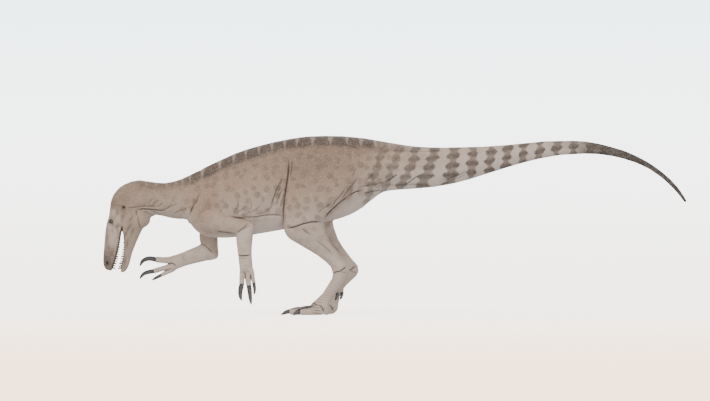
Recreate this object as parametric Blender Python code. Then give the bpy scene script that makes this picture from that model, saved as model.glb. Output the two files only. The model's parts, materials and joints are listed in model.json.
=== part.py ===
"""A life-size megaraptorid theropod, standing on both feet with its head lowered and its jaws open.

Metres, +Z up. The head points to -X, so the animal's left side faces -Y. The soles stand at z = 0 and the
origin is below the middle of the animal's length.
"""

import math

import bmesh
import bpy
from mathutils import Matrix, Vector

# Two parts that meet keep this gap between their faces
GAP = 0.0003

# How many sides a section has, by part
BODY_SIDES = 18
HEAD_SIDES = 20
TAIL_SIDES = 16
TAIL_END_SIDES = 12
THIGH_SIDES = 18
LEG_SIDES = 12
ARM_SIDES = 12
DIGIT_SIDES = 8
TOE_SIDES = 10
CLAW_SIDES = 6

# The right leg and foot stand this far behind the left ones, its small first toe a little less
RIGHT_LEG_BACK = 0.09
RIGHT_FIRST_TOE_BACK = 0.048

# Sections of neck, body and tail from the skull backwards:
# back x and z, throat or belly x and z, half width, and where between belly and back it is widest
NECK = (
    (-2.818, 1.190, -2.444, 0.973, 0.112, 0.52),
    (-2.760, 1.263, -2.434, 0.979, 0.115, 0.52),
    (-2.670, 1.315, -2.420, 0.987, 0.115, 0.52),
    (-2.570, 1.340, -2.390, 0.998, 0.110, 0.52),
    (-2.450, 1.327, -2.330, 0.989, 0.104, 0.50),
    (-2.320, 1.313, -2.250, 0.969, 0.104, 0.48),
    (-2.180, 1.337, -2.160, 0.957, 0.114, 0.46),
    (-2.030, 1.403, -2.075, 0.947, 0.130, 0.45),
)
TORSO = (
    (-1.930, 1.453, -2.015, 0.870, 0.146, 0.45),
    (-1.830, 1.502, -1.920, 0.795, 0.166, 0.45),
    (-1.710, 1.557, -1.770, 0.769, 0.190, 0.45),
    (-1.550, 1.627, -1.570, 0.777, 0.214, 0.47),
    (-1.350, 1.688, -1.350, 0.811, 0.232, 0.48),
    (-1.130, 1.740, -1.130, 0.849, 0.236, 0.50),
    (-0.910, 1.775, -0.910, 0.887, 0.228, 0.54),
    (-0.690, 1.785, -0.670, 0.929, 0.216, 0.60),
    (-0.490, 1.779, -0.450, 0.999, 0.208, 0.62),
    (-0.310, 1.761, -0.290, 1.097, 0.202, 0.60),
    (-0.170, 1.737, -0.160, 1.203, 0.196, 0.56),
    (-0.050, 1.717, -0.050, 1.241, 0.188, 0.54),
)
TAIL_BASE = (
    (0.170, 1.683, 0.170, 1.258, 0.176, 0.53),
    (0.430, 1.668, 0.430, 1.282, 0.158, 0.53),
    (0.670, 1.671, 0.690, 1.338, 0.136, 0.53),
    (0.910, 1.679, 0.930, 1.412, 0.112, 0.52),
)
TAIL_MIDDLE = (
    (1.170, 1.699, 1.190, 1.493, 0.089, 0.52),
    (1.430, 1.725, 1.450, 1.561, 0.072, 0.52),
    (1.670, 1.735, 1.670, 1.596, 0.059, 0.50),
    (1.890, 1.731, 1.890, 1.609, 0.048, 0.50),
)
TAIL_END = (
    (2.110, 1.689, 2.090, 1.599, 0.038, 0.50),
    (2.330, 1.621, 2.300, 1.555, 0.029, 0.50),
    (2.530, 1.521, 2.500, 1.479, 0.021, 0.50),
    (2.700, 1.399, 2.670, 1.367, 0.015, 0.50),
    (2.830, 1.265, 2.804, 1.239, 0.011, 0.50),
    (2.916, 1.135, 2.902, 1.119, 0.004, 0.50),
)

# Sections of the whole head, jaws together, from the neck down to the tips of the jaws
HEAD = (
    (-2.842, 1.115, -2.448, 0.952, 0.114, 0.50),
    (-2.851, 1.045, -2.454, 0.922, 0.115, 0.50),
    (-2.860, 0.985, -2.475, 0.893, 0.112, 0.50),
    (-2.876, 0.930, -2.510, 0.871, 0.105, 0.50),
    (-2.890, 0.865, -2.530, 0.847, 0.095, 0.52),
    (-2.900, 0.780, -2.562, 0.780, 0.083, 0.52),
    (-2.906, 0.695, -2.598, 0.697, 0.072, 0.52),
    (-2.913, 0.610, -2.630, 0.611, 0.063, 0.52),
    (-2.916, 0.535, -2.651, 0.530, 0.055, 0.52),
    (-2.907, 0.480, -2.674, 0.467, 0.045, 0.52),
    (-2.884, 0.450, -2.702, 0.431, 0.034, 0.52),
    (-2.868, 0.445, -2.718, 0.424, 0.024, 0.52),
)

# Edges of the open mouth in side view, from its corner to the tips of the jaws
MOUTH_CORNER = (-2.726, 0.838)
UPPER_MARGIN = (
    (-2.744, 0.825),
    (-2.754, 0.775),
    (-2.763, 0.715),
    (-2.777, 0.645),
    (-2.795, 0.575),
    (-2.812, 0.515),
    (-2.831, 0.465),
    (-2.842, 0.400),
)
LOWER_MARGIN = (
    (-2.708, 0.815),
    (-2.701, 0.755),
    (-2.698, 0.685),
    (-2.703, 0.610),
    (-2.713, 0.550),
    (-2.726, 0.495),
    (-2.738, 0.445),
    (-2.745, 0.400),
)
# The jaws part along this line, from the corner of the mouth past the jaw joint
CHEEK_LINE = ((-2.640, 0.950), (-2.555, 1.060))
MOUTH_DEPTH = 0.030
MOUTH_HEIGHTS = (0.880, 0.850, 0.800, 0.740, 0.670, 0.600, 0.540, 0.490)
MOUTH_SHARE_OF_WIDTH = 0.62
TONGUE_HEIGHTS = (0.830, 0.795, 0.740, 0.670, 0.600, 0.540)
TONGUE_SHARE_OF_WIDTH = 0.34
LIP_RADIUS = 0.0065
TONGUE_BELOW_LIP = 0.010

# Teeth, from the front of each jaw backwards
TEETH_A_SIDE = 11
UPPER_TEETH = (0.011, 0.019)
LOWER_TEETH = (0.013, 0.027)
TOOTH_ROOT = 0.012
TOOTH_RADIUS = 0.0048
TOOTH_SIDES = 5
TOOTH_ROW = (0.460, 0.700)

# Eyes, ears and nostrils: x, z, and how far out from the middle
EYE = (-2.826, 0.930, 0.056)
EYE_RADIUS = 0.0235
# The eyes look outwards and a little forwards, and the lids stand this far out from their centres
EYE_LOOK = (-0.50, 0.86, 0.05)
LID_OUT = 0.0125
LID_RING_RADIUS = 0.0225
LID_RADIUS = 0.0062
BROW = ((-2.854, 0.890), (-2.858, 0.920), (-2.853, 0.955), (-2.840, 0.985))
BROW_OUT = 0.055
NOSTRIL = (-2.879, 0.520, 0.036)
NOSTRIL_SIZE = (0.008, 0.009, 0.014)
EAR = (-2.710, 1.075, 0.112)
EAR_SIZE = (0.014, 0.016, 0.012)

# Sections of the arms from shoulder to knuckles:
# outer x and z, inner x and z, distance from the middle, half width, and where it is widest
LEFT_ARM = (
    (-1.980, 1.090, -1.930, 0.850, 0.080, 0.050, 0.5),
    (-1.850, 1.060, -1.830, 0.805, 0.135, 0.075, 0.5),
    (-1.690, 0.987, -1.740, 0.822, 0.185, 0.074, 0.5),
    (-1.540, 0.955, -1.640, 0.812, 0.222, 0.064, 0.5),
    (-1.408, 0.910, -1.586, 0.803, 0.243, 0.056, 0.5),
    (-1.414, 0.800, -1.579, 0.752, 0.248, 0.053, 0.5),
    (-1.426, 0.685, -1.570, 0.675, 0.246, 0.046, 0.5),
    (-1.427, 0.585, -1.560, 0.585, 0.240, 0.038, 0.5),
    (-1.420, 0.505, -1.550, 0.505, 0.237, 0.037, 0.5),
    (-1.413, 0.432, -1.544, 0.432, 0.236, 0.029, 0.5),
)
RIGHT_ARM = (
    (-1.790, 1.110, -1.960, 1.080, 0.080, 0.050, 0.5),
    (-1.778, 0.930, -1.962, 0.925, 0.140, 0.076, 0.5),
    (-1.780, 0.800, -1.966, 0.815, 0.180, 0.072, 0.5),
    (-1.778, 0.665, -1.958, 0.732, 0.202, 0.062, 0.5),
    (-1.782, 0.563, -1.950, 0.702, 0.212, 0.056, 0.5),
    (-1.890, 0.537, -2.010, 0.670, 0.218, 0.051, 0.5),
    (-2.000, 0.512, -2.078, 0.641, 0.218, 0.045, 0.5),
    (-2.108, 0.483, -2.150, 0.612, 0.214, 0.038, 0.5),
    (-2.172, 0.457, -2.214, 0.590, 0.212, 0.037, 0.5),
    (-2.236, 0.431, -2.272, 0.574, 0.212, 0.029, 0.5),
)
ELBOW, WRIST = 4, 7

# Fingers from inside the palm over knuckle and middle joint to the claw:
# centreline points, half thickness and half width at each
LEFT_FINGERS = {
    "first": (
        ((-1.505, 0.520), (-1.521, 0.440), (-1.525, 0.370), (-1.526, 0.312)),
        (0.015, 0.024, 0.0230, 0.0250),
        (0.018, 0.024, 0.021, 0.0200),
    ),
    "second": (
        ((-1.482, 0.520), (-1.473, 0.440), (-1.466, 0.365), (-1.456, 0.297)),
        (0.015, 0.026, 0.0245, 0.0245),
        (0.018, 0.024, 0.021, 0.0200),
    ),
    "third": (
        ((-1.450, 0.520), (-1.427, 0.445), (-1.416, 0.380), (-1.406, 0.325)),
        (0.012, 0.020, 0.0180, 0.0165),
        (0.014, 0.018, 0.016, 0.0150),
    ),
}
RIGHT_FINGERS = {
    "first": (
        ((-2.150, 0.545), (-2.245, 0.542), (-2.325, 0.541), (-2.400, 0.547)),
        (0.016, 0.032, 0.0300, 0.0290),
        (0.018, 0.025, 0.022, 0.0200),
    ),
    "second": (
        ((-2.140, 0.525), (-2.235, 0.487), (-2.335, 0.457), (-2.420, 0.431)),
        (0.015, 0.026, 0.0230, 0.0240),
        (0.018, 0.024, 0.021, 0.0190),
    ),
    "third": (
        ((-2.150, 0.500), (-2.225, 0.450), (-2.290, 0.419), (-2.345, 0.391)),
        (0.012, 0.022, 0.0200, 0.0170),
        (0.014, 0.018, 0.016, 0.0150),
    ),
}
# Claws of the hands: centreline from root to tip, half height and half width at the root
LEFT_HAND_CLAWS = {
    "first": (((-1.526, 0.312), (-1.538, 0.255), (-1.541, 0.200), (-1.530, 0.147)), 0.0225, 0.0135),
    "second": (((-1.456, 0.297), (-1.447, 0.235), (-1.441, 0.175), (-1.432, 0.107)), 0.0210, 0.0130),
    "third": (((-1.406, 0.325), (-1.400, 0.285), (-1.397, 0.248), (-1.401, 0.208)), 0.0150, 0.0110),
}
RIGHT_HAND_CLAWS = {
    "first": (((-2.400, 0.547), (-2.470, 0.557), (-2.532, 0.533), (-2.560, 0.482)), 0.0220, 0.0135),
    "second": (((-2.420, 0.431), (-2.480, 0.420), (-2.530, 0.398), (-2.562, 0.354)), 0.0200, 0.0130),
    "third": (((-2.345, 0.391), (-2.377, 0.375), (-2.408, 0.359), (-2.440, 0.340)), 0.0150, 0.0110),
}
# A claw keeps its thickness for most of its length and ends bluntly: thickness at a share t of the
# length is (1 - t ** CLAW_FULLNESS) ** CLAW_TAPER
CLAW_FULLNESS = 2.5
CLAW_TAPER = 0.6
CLAW_TIP_SHARE = 0.12

# Sections of the left leg from hip to the root of the toes:
# front x and z, rear x and z, distance from the middle, half width, and where it is widest
LEG = (
    (-0.950, 1.690, -0.580, 1.690, 0.080, 0.070, 0.5),
    (-1.060, 1.560, -0.440, 1.555, 0.115, 0.104, 0.5),
    (-1.105, 1.400, -0.380, 1.390, 0.145, 0.130, 0.5),
    (-1.115, 1.235, -0.440, 1.215, 0.168, 0.138, 0.5),
    (-1.118, 1.090, -0.570, 1.070, 0.182, 0.130, 0.5),
    (-1.115, 0.965, -0.668, 0.988, 0.190, 0.118, 0.5),
    (-1.105, 0.848, -0.715, 0.925, 0.193, 0.102, 0.5),
    (-1.058, 0.767, -0.694, 0.838, 0.191, 0.090, 0.5),
    (-0.965, 0.709, -0.662, 0.752, 0.186, 0.080, 0.5),
    (-0.870, 0.652, -0.618, 0.680, 0.180, 0.069, 0.5),
    (-0.770, 0.592, -0.572, 0.618, 0.175, 0.060, 0.5),
    (-0.685, 0.525, -0.516, 0.543, 0.170, 0.054, 0.5),
    (-0.634, 0.468, -0.470, 0.495, 0.167, 0.053, 0.5),
    (-0.620, 0.405, -0.454, 0.430, 0.164, 0.051, 0.5),
    (-0.632, 0.356, -0.484, 0.372, 0.162, 0.047, 0.5),
    (-0.672, 0.290, -0.540, 0.293, 0.160, 0.044, 0.5),
    (-0.720, 0.218, -0.590, 0.219, 0.159, 0.045, 0.5),
    (-0.768, 0.168, -0.637, 0.147, 0.158, 0.050, 0.5),
    (-0.812, 0.130, -0.660, 0.082, 0.158, 0.058, 0.5),
)
KNEE, ANKLE, TOE_ROOT = 6, 13, 18
# The right shank is slimmer behind: how far its rear edge is drawn in, from the ankle to the root of the toes
RIGHT_SHANK_SLIM = (0.000, 0.006, 0.034, 0.038, 0.013, 0.000)
# The ball of the foot goes on from the leg's last section, down to the floor
BALL = (
    (-0.838, 0.106, -0.652, 0.030, 0.158, 0.064, 0.5),
    (-0.852, 0.084, -0.672, -0.012, 0.158, 0.062, 0.5),
)
# The right foot's heel is rounder below
RIGHT_BALL = (
    (-0.838, 0.106, -0.662, 0.050, 0.158, 0.064, 0.5),
    (-0.846, 0.095, -0.690, 0.018, 0.158, 0.062, 0.5),
    (-0.852, 0.084, -0.735, -0.012, 0.158, 0.060, 0.5),
)

# Toes seen from above: x and y of the root from the leg's middle line, turn outwards in degrees, length
TOES = {
    "inner": (-0.735, -0.022, -17.0, 0.235),
    "middle": (-0.735, 0.000, 0.0, 0.315),
    "outer": (-0.735, 0.024, 20.0, 0.225),
}
# Share of the toe's length, height of its top, how far its pads press below the floor line, half width
TOE_PROFILE = (
    (0.00, 0.094, 0.010, 0.034),
    (0.18, 0.098, 0.010, 0.034),
    (0.34, 0.093, -0.004, 0.030),
    (0.50, 0.091, 0.008, 0.032),
    (0.66, 0.081, -0.004, 0.027),
    (0.82, 0.077, 0.008, 0.029),
    (1.00, 0.061, -0.008, 0.022),
)
# Toe claws: length, height of the middle of the root, half height and half width there
TOE_CLAWS = {
    "inner": (0.078, 0.035, 0.0230, 0.0170),
    "middle": (0.086, 0.034, 0.0230, 0.0170),
    "outer": (0.070, 0.038, 0.0265, 0.0180),
}
TOE_CLAW_TIP_HEIGHT = 0.004
# The small first toe hangs behind the shank of the foot, on its inner side
FIRST_TOE = (((-0.600, 0.300), (-0.582, 0.262), (-0.577, 0.220)), (0.016, 0.017, 0.0140), (0.016, 0.018, 0.0130))
FIRST_TOE_CLAW = (((-0.577, 0.220), (-0.579, 0.195), (-0.586, 0.170), (-0.598, 0.145)), 0.0135, 0.0095)
FIRST_TOE_Y = 0.128

# Colours: base colour and roughness
SKIN = ("skin", (0.44, 0.36, 0.30, 1.0), 0.72)
PALE_SKIN = ("pale_skin", (0.54, 0.46, 0.40, 1.0), 0.74)
CLAW_HORN = ("claw_horn", (0.075, 0.066, 0.060, 1.0), 0.38)
EYE_GLOSS = ("eye_gloss", (0.09, 0.05, 0.02, 1.0), 0.12)
TONGUE_FLESH = ("tongue_flesh", (0.46, 0.20, 0.18, 1.0), 0.45)


def clear_scene():
    for obj in list(bpy.data.objects):
        bpy.data.objects.remove(obj, do_unlink=True)


def material(finish):
    """The Principled BSDF of one finish, made once."""
    name, colour, roughness = finish
    made = bpy.data.materials.get(name)
    if made is None:
        made = bpy.data.materials.new(name)
        made.use_nodes = True
        shader = made.node_tree.nodes["Principled BSDF"]
        shader.inputs["Base Color"].default_value = colour
        shader.inputs["Roughness"].default_value = roughness
        shader.inputs["Metallic"].default_value = 0.0
    return made


def smooth_rows(rows, steps):
    """The stations and steps - 1 rows between each two, on a smooth curve through them all."""
    last = len(rows) - 1
    out = []
    for i in range(last):
        four = (rows[max(i - 1, 0)], rows[i], rows[i + 1], rows[min(i + 2, last)])
        for k in range(steps):
            t = k / steps
            weights = (
                0.5 * (-t + 2 * t * t - t ** 3),
                0.5 * (2 - 5 * t * t + 3 * t ** 3),
                0.5 * (t + 4 * t * t - 3 * t ** 3),
                0.5 * (t ** 3 - t * t),
            )
            out.append(tuple(sum(w * v for w, v in zip(weights, values)) for values in zip(*four)))
    out.append(tuple(rows[last]))
    return out


def spine_rows(rows):
    """Sections of neck, body, tail or head as rows with a place across the body, which is its middle."""
    return [(bx, bz, lx, lz, 0.0, half, widest) for bx, bz, lx, lz, half, widest in rows]


def strand_rows(path, half_heights, half_widths, y):
    """Sections square to a path of (x, z) points, with one half height and one half width for each."""
    rows = []
    last = len(path) - 1
    for i, ((x, z), height, width) in enumerate(zip(path, half_heights, half_widths)):
        before, after = path[max(i - 1, 0)], path[min(i + 1, last)]
        along = Vector((after[0] - before[0], after[1] - before[1])).normalized()
        up = Vector((-along.y, along.x)) * height
        rows.append((x + up.x, z + up.y, x - up.x, z - up.y, y, width, 0.5))
    return rows


def claw_taper(count):
    """Shares of a claw's thickness from its root to its tip."""
    return [max(CLAW_TIP_SHARE, (1.0 - (k / count) ** CLAW_FULLNESS) ** CLAW_TAPER) for k in range(count + 1)]


def digit_and_claw(digit, claw, y):
    """Sections of a digit and of the curved claw that goes on from its end."""
    points, heights, widths = digit
    claw_points, claw_height, claw_width = claw
    steps = 2
    path = smooth_rows([*points, *claw_points[1:]], steps)
    joint = (len(points) - 1) * steps
    sizes = smooth_rows(list(zip(heights, widths)), steps)
    thin = claw_taper(len(path) - 1 - joint)
    claw_heights = [claw_height * share for share in thin]
    claw_widths = [claw_width * share for share in thin]
    digit_heights = [height for height, _ in sizes]
    digit_widths = [width for _, width in sizes]
    digit_part = strand_rows(path, [*digit_heights, *claw_heights[1:]], [*digit_widths, *claw_widths[1:]], y)
    claw_part = strand_rows(path, [*digit_heights[:-1], *claw_heights], [*digit_widths[:-1], *claw_widths], y)
    return digit_part[:joint + 1], claw_part[joint:]


def ring(row, sides, fullness, grow=0.0):
    """Corners of one egg-shaped section. Fullness under 1 makes its flanks rounder than an ellipse."""
    upper_x, upper_z, lower_x, lower_z, y, half, widest = row
    upper, lower = Vector((upper_x, y, upper_z)), Vector((lower_x, y, lower_z))
    out = (upper - lower).normalized() * grow
    upper, lower = upper + out, lower - out
    middle = lower.lerp(upper, widest)
    corners = []
    for k in range(sides):
        turn = 2 * math.pi * k / sides
        rise, side = math.cos(turn), math.sin(turn)
        end = upper if rise > 0 else lower
        across = math.copysign(abs(side) ** fullness, side) * (half + grow)
        corners.append(middle.lerp(end, abs(rise)) + Vector((0.0, across, 0.0)))
    return corners


def pulled_in(corners, towards, distance):
    """A section moved along its own axis by a distance, to the side where another section lies."""
    axis = (corners[0] - corners[len(corners) // 2]).cross(Vector((0.0, 1.0, 0.0))).normalized()
    middle = sum(corners, Vector()) / len(corners)
    goal = sum(towards, Vector()) / len(towards)
    if axis.dot(goal - middle) < 0:
        axis = -axis
    return [corner + axis * distance for corner in corners]


def loft(rows, sides, fullness=1.0, grow=0.0, start_gap=0.0, end_gap=0.0):
    """A closed mesh through the sections, with flat ends. A gap pulls that end in by half of it."""
    rings = [ring(row, sides, fullness, grow) for row in rows]
    if start_gap:
        rings[0] = pulled_in(rings[0], rings[1], start_gap / 2)
    if end_gap:
        rings[-1] = pulled_in(rings[-1], rings[-2], end_gap / 2)
    bm = bmesh.new()
    loops = [[bm.verts.new(corner) for corner in corners] for corners in rings]
    for first, second in zip(loops, loops[1:]):
        for k in range(sides):
            j = (k + 1) % sides
            # Triangles, so that a larger copy of the form has the same flat faces; they mirror left to right
            if k < sides // 2:
                bm.faces.new((first[k], first[j], second[j]))
                bm.faces.new((first[k], second[j], second[k]))
            else:
                bm.faces.new((first[k], first[j], second[k]))
                bm.faces.new((first[j], second[j], second[k]))
    bm.faces.new(loops[0])
    bm.faces.new(loops[-1])
    bmesh.ops.recalc_face_normals(bm, faces=bm.faces)
    return bm


def add_node(name, bm, finish):
    """Turns the bmesh into a named, smoothly shaded object with its material."""
    mesh = bpy.data.meshes.new(name)
    bm.to_mesh(mesh)
    bm.free()
    mesh.materials.append(material(finish))
    obj = bpy.data.objects.new(name, mesh)
    bpy.context.scene.collection.objects.link(obj)
    return obj


def shade(obj, sharp_degrees=50.0):
    obj.data.shade_smooth()
    obj.data.set_sharp_from_angle(angle=math.radians(sharp_degrees))


def helper(bm):
    """A closed shape that is only joined to a part or cut from it."""
    return add_node("helper", bm, SKIN)


def apply_boolean(base, tools, operation):
    """Joins the tools to the base or cuts them from it, and removes them."""
    group = bpy.data.collections.new("tools")
    bpy.context.scene.collection.children.link(group)
    for tool in tools:
        group.objects.link(tool)
    modifier = base.modifiers.new("tools", "BOOLEAN")
    modifier.operand_type = "COLLECTION"
    modifier.collection = group
    modifier.operation = operation
    modifier.solver = "EXACT"
    graph = bpy.context.evaluated_depsgraph_get()
    result = bpy.data.meshes.new_from_object(base.evaluated_get(graph))
    base.modifiers.clear()
    old = base.data
    result.materials.clear()
    result.materials.append(old.materials[0])
    base.data = result
    bpy.data.meshes.remove(old)
    for tool in tools:
        bpy.data.objects.remove(tool, do_unlink=True)
    bpy.data.collections.remove(group)


def islands(bm):
    """The separate closed surfaces of a bmesh, as lists of faces."""
    left = set(bm.faces)
    found = []
    while left:
        front = [left.pop()]
        island = []
        while front:
            face = front.pop()
            island.append(face)
            for edge in face.edges:
                for near in edge.link_faces:
                    if near in left:
                        left.remove(near)
                        front.append(near)
        found.append(island)
    return found


def size_of(faces):
    return sum(face.calc_area() for face in faces)


def keep_one(obj, choose):
    """Keeps the one closed surface for which choose gives the most."""
    bm = bmesh.new()
    bm.from_mesh(obj.data)
    found = islands(bm)
    kept = max(found, key=choose)
    for island in found:
        if island is not kept:
            bmesh.ops.delete(bm, geom=island, context="FACES")
    bm.to_mesh(obj.data)
    bm.free()


def prism(outline, half_depth):
    """A side-view outline of (x, z) points as a closed block across the middle plane."""
    bm = bmesh.new()
    face = bm.faces.new([bm.verts.new((x, -half_depth, z)) for x, z in outline])
    made = bmesh.ops.extrude_face_region(bm, geom=[face])
    moved = [v for v in made["geom"] if isinstance(v, bmesh.types.BMVert)]
    bmesh.ops.translate(bm, verts=moved, vec=(0.0, 2 * half_depth, 0.0))
    bmesh.ops.recalc_face_normals(bm, faces=bm.faces)
    return bm


def ellipsoid(centre, radii, rings_count=8, sides=12):
    bm = bmesh.new()
    bmesh.ops.create_uvsphere(bm, u_segments=sides, v_segments=rings_count, radius=1.0)
    place = Matrix.Translation(centre) @ Matrix.Diagonal((*radii, 1.0))
    bmesh.ops.transform(bm, matrix=place, verts=bm.verts)
    return bm


def at(rows, name_of_value, z):
    """The head's front x, rear x or half width at a height, between the sections that hold it."""
    column = {"front": 0, "rear": 2, "half": 5}[name_of_value]
    for above, below in zip(rows, rows[1:]):
        if below[1] <= z <= above[1]:
            share = (above[1] - z) / (above[1] - below[1])
            return above[column] + (below[column] - above[column]) * share
    return rows[-1][column]


def head_half_width(x, z):
    """Half the width of the head at a point of the side view, below the corner of the mouth."""
    rows = spine_rows(HEAD)
    front, rear, half = (at(rows, value, z) for value in ("front", "rear", "half"))
    middle = rear + (front - rear) * rows[6][6]
    reach = (middle - front) if x < middle else (rear - middle)
    share = min(1.0, abs(x - middle) / reach)
    return half * math.sqrt(1.0 - share * share) ** HEAD_FULLNESS


HEAD_FULLNESS = 0.78
TRUNK_FULLNESS = 0.92


def build_trunk():
    """Neck, torso and tail: one smooth body, parted by flat cuts."""
    steps = 2
    runs = (
        ("neck", NECK, BODY_SIDES),
        ("torso", TORSO, BODY_SIDES),
        ("tail_base", TAIL_BASE, TAIL_SIDES),
        ("tail_middle", TAIL_MIDDLE, TAIL_SIDES),
        ("tail_end", TAIL_END, TAIL_END_SIDES),
    )
    stations = [row for _, rows, _ in runs for row in spine_rows(rows)]
    rows = smooth_rows(stations, steps)
    parts = {}
    start = 0
    end = -1
    for name, own, sides in runs:
        end += len(own)
        piece = rows[start * steps:end * steps + 1]
        tip = name == "tail_end"
        bm = loft(piece, sides, TRUNK_FULLNESS, 0.0, GAP, 0.0 if tip else GAP)
        parts[name] = (add_node(name, bm, SKIN), piece)
        start = end
    return parts


def mouth_gap():
    """The wedge between the open jaws, which runs on as a thin cut through the cheeks."""
    half_gap = GAP / 2
    cheek = (MOUTH_CORNER, *CHEEK_LINE)
    out = []
    for side in (1, -1):
        line = []
        for (x, z), (next_x, next_z) in zip(cheek, (*cheek[1:], cheek[-1])):
            along = Vector((next_x - x, next_z - z))
            if along.length == 0:
                along = Vector((x - cheek[-2][0], z - cheek[-2][1]))
            across = Vector((-along.y, along.x)).normalized() * half_gap * side
            line.append((x + across.x, z + across.y))
        out.append(line)
    front_side, rear_side = out
    outline = [*reversed(UPPER_MARGIN), *front_side, *reversed(rear_side), *LOWER_MARGIN]
    return prism(outline, 0.2)


def margin_point(margin, z):
    """The x of a jaw's edge at a height."""
    for (x0, z0), (x1, z1) in zip((MOUTH_CORNER, *margin), margin):
        if z1 <= z <= z0:
            return x0 + (x1 - x0) * (z0 - z) / (z0 - z1)
    return margin[-1][0]


def mouth_rows(heights, width_share, shrink):
    """Sections of the hollow of the mouth, which reaches into both jaws behind the rows of teeth."""
    rows = []
    for z in heights:
        roof = margin_point(UPPER_MARGIN, min(z, MOUTH_CORNER[1] - 0.002)) - MOUTH_DEPTH + shrink
        floor = margin_point(LOWER_MARGIN, min(z, MOUTH_CORNER[1] - 0.002)) + MOUTH_DEPTH - shrink
        half = at(spine_rows(HEAD), "half", min(z, 0.860)) * width_share
        rows.append((roof, z, floor, z, 0.0, half, 0.5))
    return rows


def lip(margin, side):
    """A rounded edge of skin along one side of a jaw."""
    rows = []
    heights = (0.812, 0.785, 0.730, 0.670, 0.610, 0.550, 0.500, 0.470)
    for z in heights:
        x = margin_point(margin, z)
        y = side * (head_half_width(x, z) - LIP_RADIUS * 0.55)
        rows.append((x - LIP_RADIUS, z, x + LIP_RADIUS, z, y, LIP_RADIUS, 0.5))
    return helper(loft(rows, 6))


def tooth(x, y, z, reach, length, lean):
    """A pointed tooth with its root sunk in the jaw. Reach is -1 or 1, the way it points along x."""
    bm = bmesh.new()
    bmesh.ops.create_cone(
        bm,
        cap_ends=True,
        segments=TOOTH_SIDES,
        radius1=TOOTH_RADIUS,
        radius2=0.0006,
        depth=length + TOOTH_ROOT,
    )
    bmesh.ops.translate(bm, verts=bm.verts, vec=(0.0, 0.0, (length - TOOTH_ROOT) / 2))
    turn = Matrix.Rotation(math.radians(90.0 * reach - lean * reach), 4, "Y")
    bmesh.ops.transform(bm, matrix=Matrix.Translation((x, y, z)) @ turn, verts=bm.verts)
    return helper(bm)


def teeth(margin, reach, lengths):
    """Both rows of one jaw, longest near the front, set just inside the lips."""
    made = []
    low, high = TOOTH_ROW
    for k in range(TEETH_A_SIDE):
        share = k / (TEETH_A_SIDE - 1)
        z = low + (high - low) * share
        x = margin_point(margin, z)
        length = lengths[1] + (lengths[0] - lengths[1]) * share
        length *= 1.0 if k % 2 else 0.82
        inset = head_half_width(x, z) - 2 * LIP_RADIUS
        for side in (-1, 1):
            made.append(tooth(x, side * inset, z, reach, length, 14.0))
    return made


def lids(side):
    """The raised rim of skin round one eye."""
    x, z, out = EYE
    bm = bmesh.new()
    bmesh.ops.create_circle(bm, segments=6, radius=LID_RADIUS)
    bmesh.ops.rotate(bm, verts=bm.verts, matrix=Matrix.Rotation(math.radians(90), 3, "X"))
    bmesh.ops.translate(bm, verts=bm.verts, vec=(LID_RING_RADIUS, 0.0, 0.0))
    bmesh.ops.spin(
        bm,
        geom=[*bm.verts, *bm.edges],
        cent=(0.0, 0.0, 0.0),
        axis=(0.0, 0.0, 1.0),
        angle=2 * math.pi,
        steps=14,
        use_merge=True,
    )
    bmesh.ops.remove_doubles(bm, verts=bm.verts, dist=0.0001)
    bmesh.ops.recalc_face_normals(bm, faces=bm.faces)
    # The ring faces where the eye looks, and is a little longer than it is high
    look = Vector((EYE_LOOK[0], EYE_LOOK[1] * side, EYE_LOOK[2])).normalized()
    centre = Vector((x, side * out, z)) + look * LID_OUT
    turn = look.to_track_quat("Z", "Y").to_matrix().to_4x4()
    bmesh.ops.transform(bm, matrix=Matrix.Translation(centre) @ turn, verts=bm.verts)
    bmesh.ops.scale(bm, vec=(1.0, 1.0, 1.15), space=Matrix.Translation(-centre), verts=bm.verts)
    return helper(bm)


def brow(side):
    count = len(BROW)
    rows = strand_rows(BROW, [0.009] * count, [0.010] * count, side * BROW_OUT)
    return helper(loft(rows, 6))


def side_feature(place, size, side):
    x, z, out = place
    return helper(ellipsoid((x, side * out, z), size))


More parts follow.
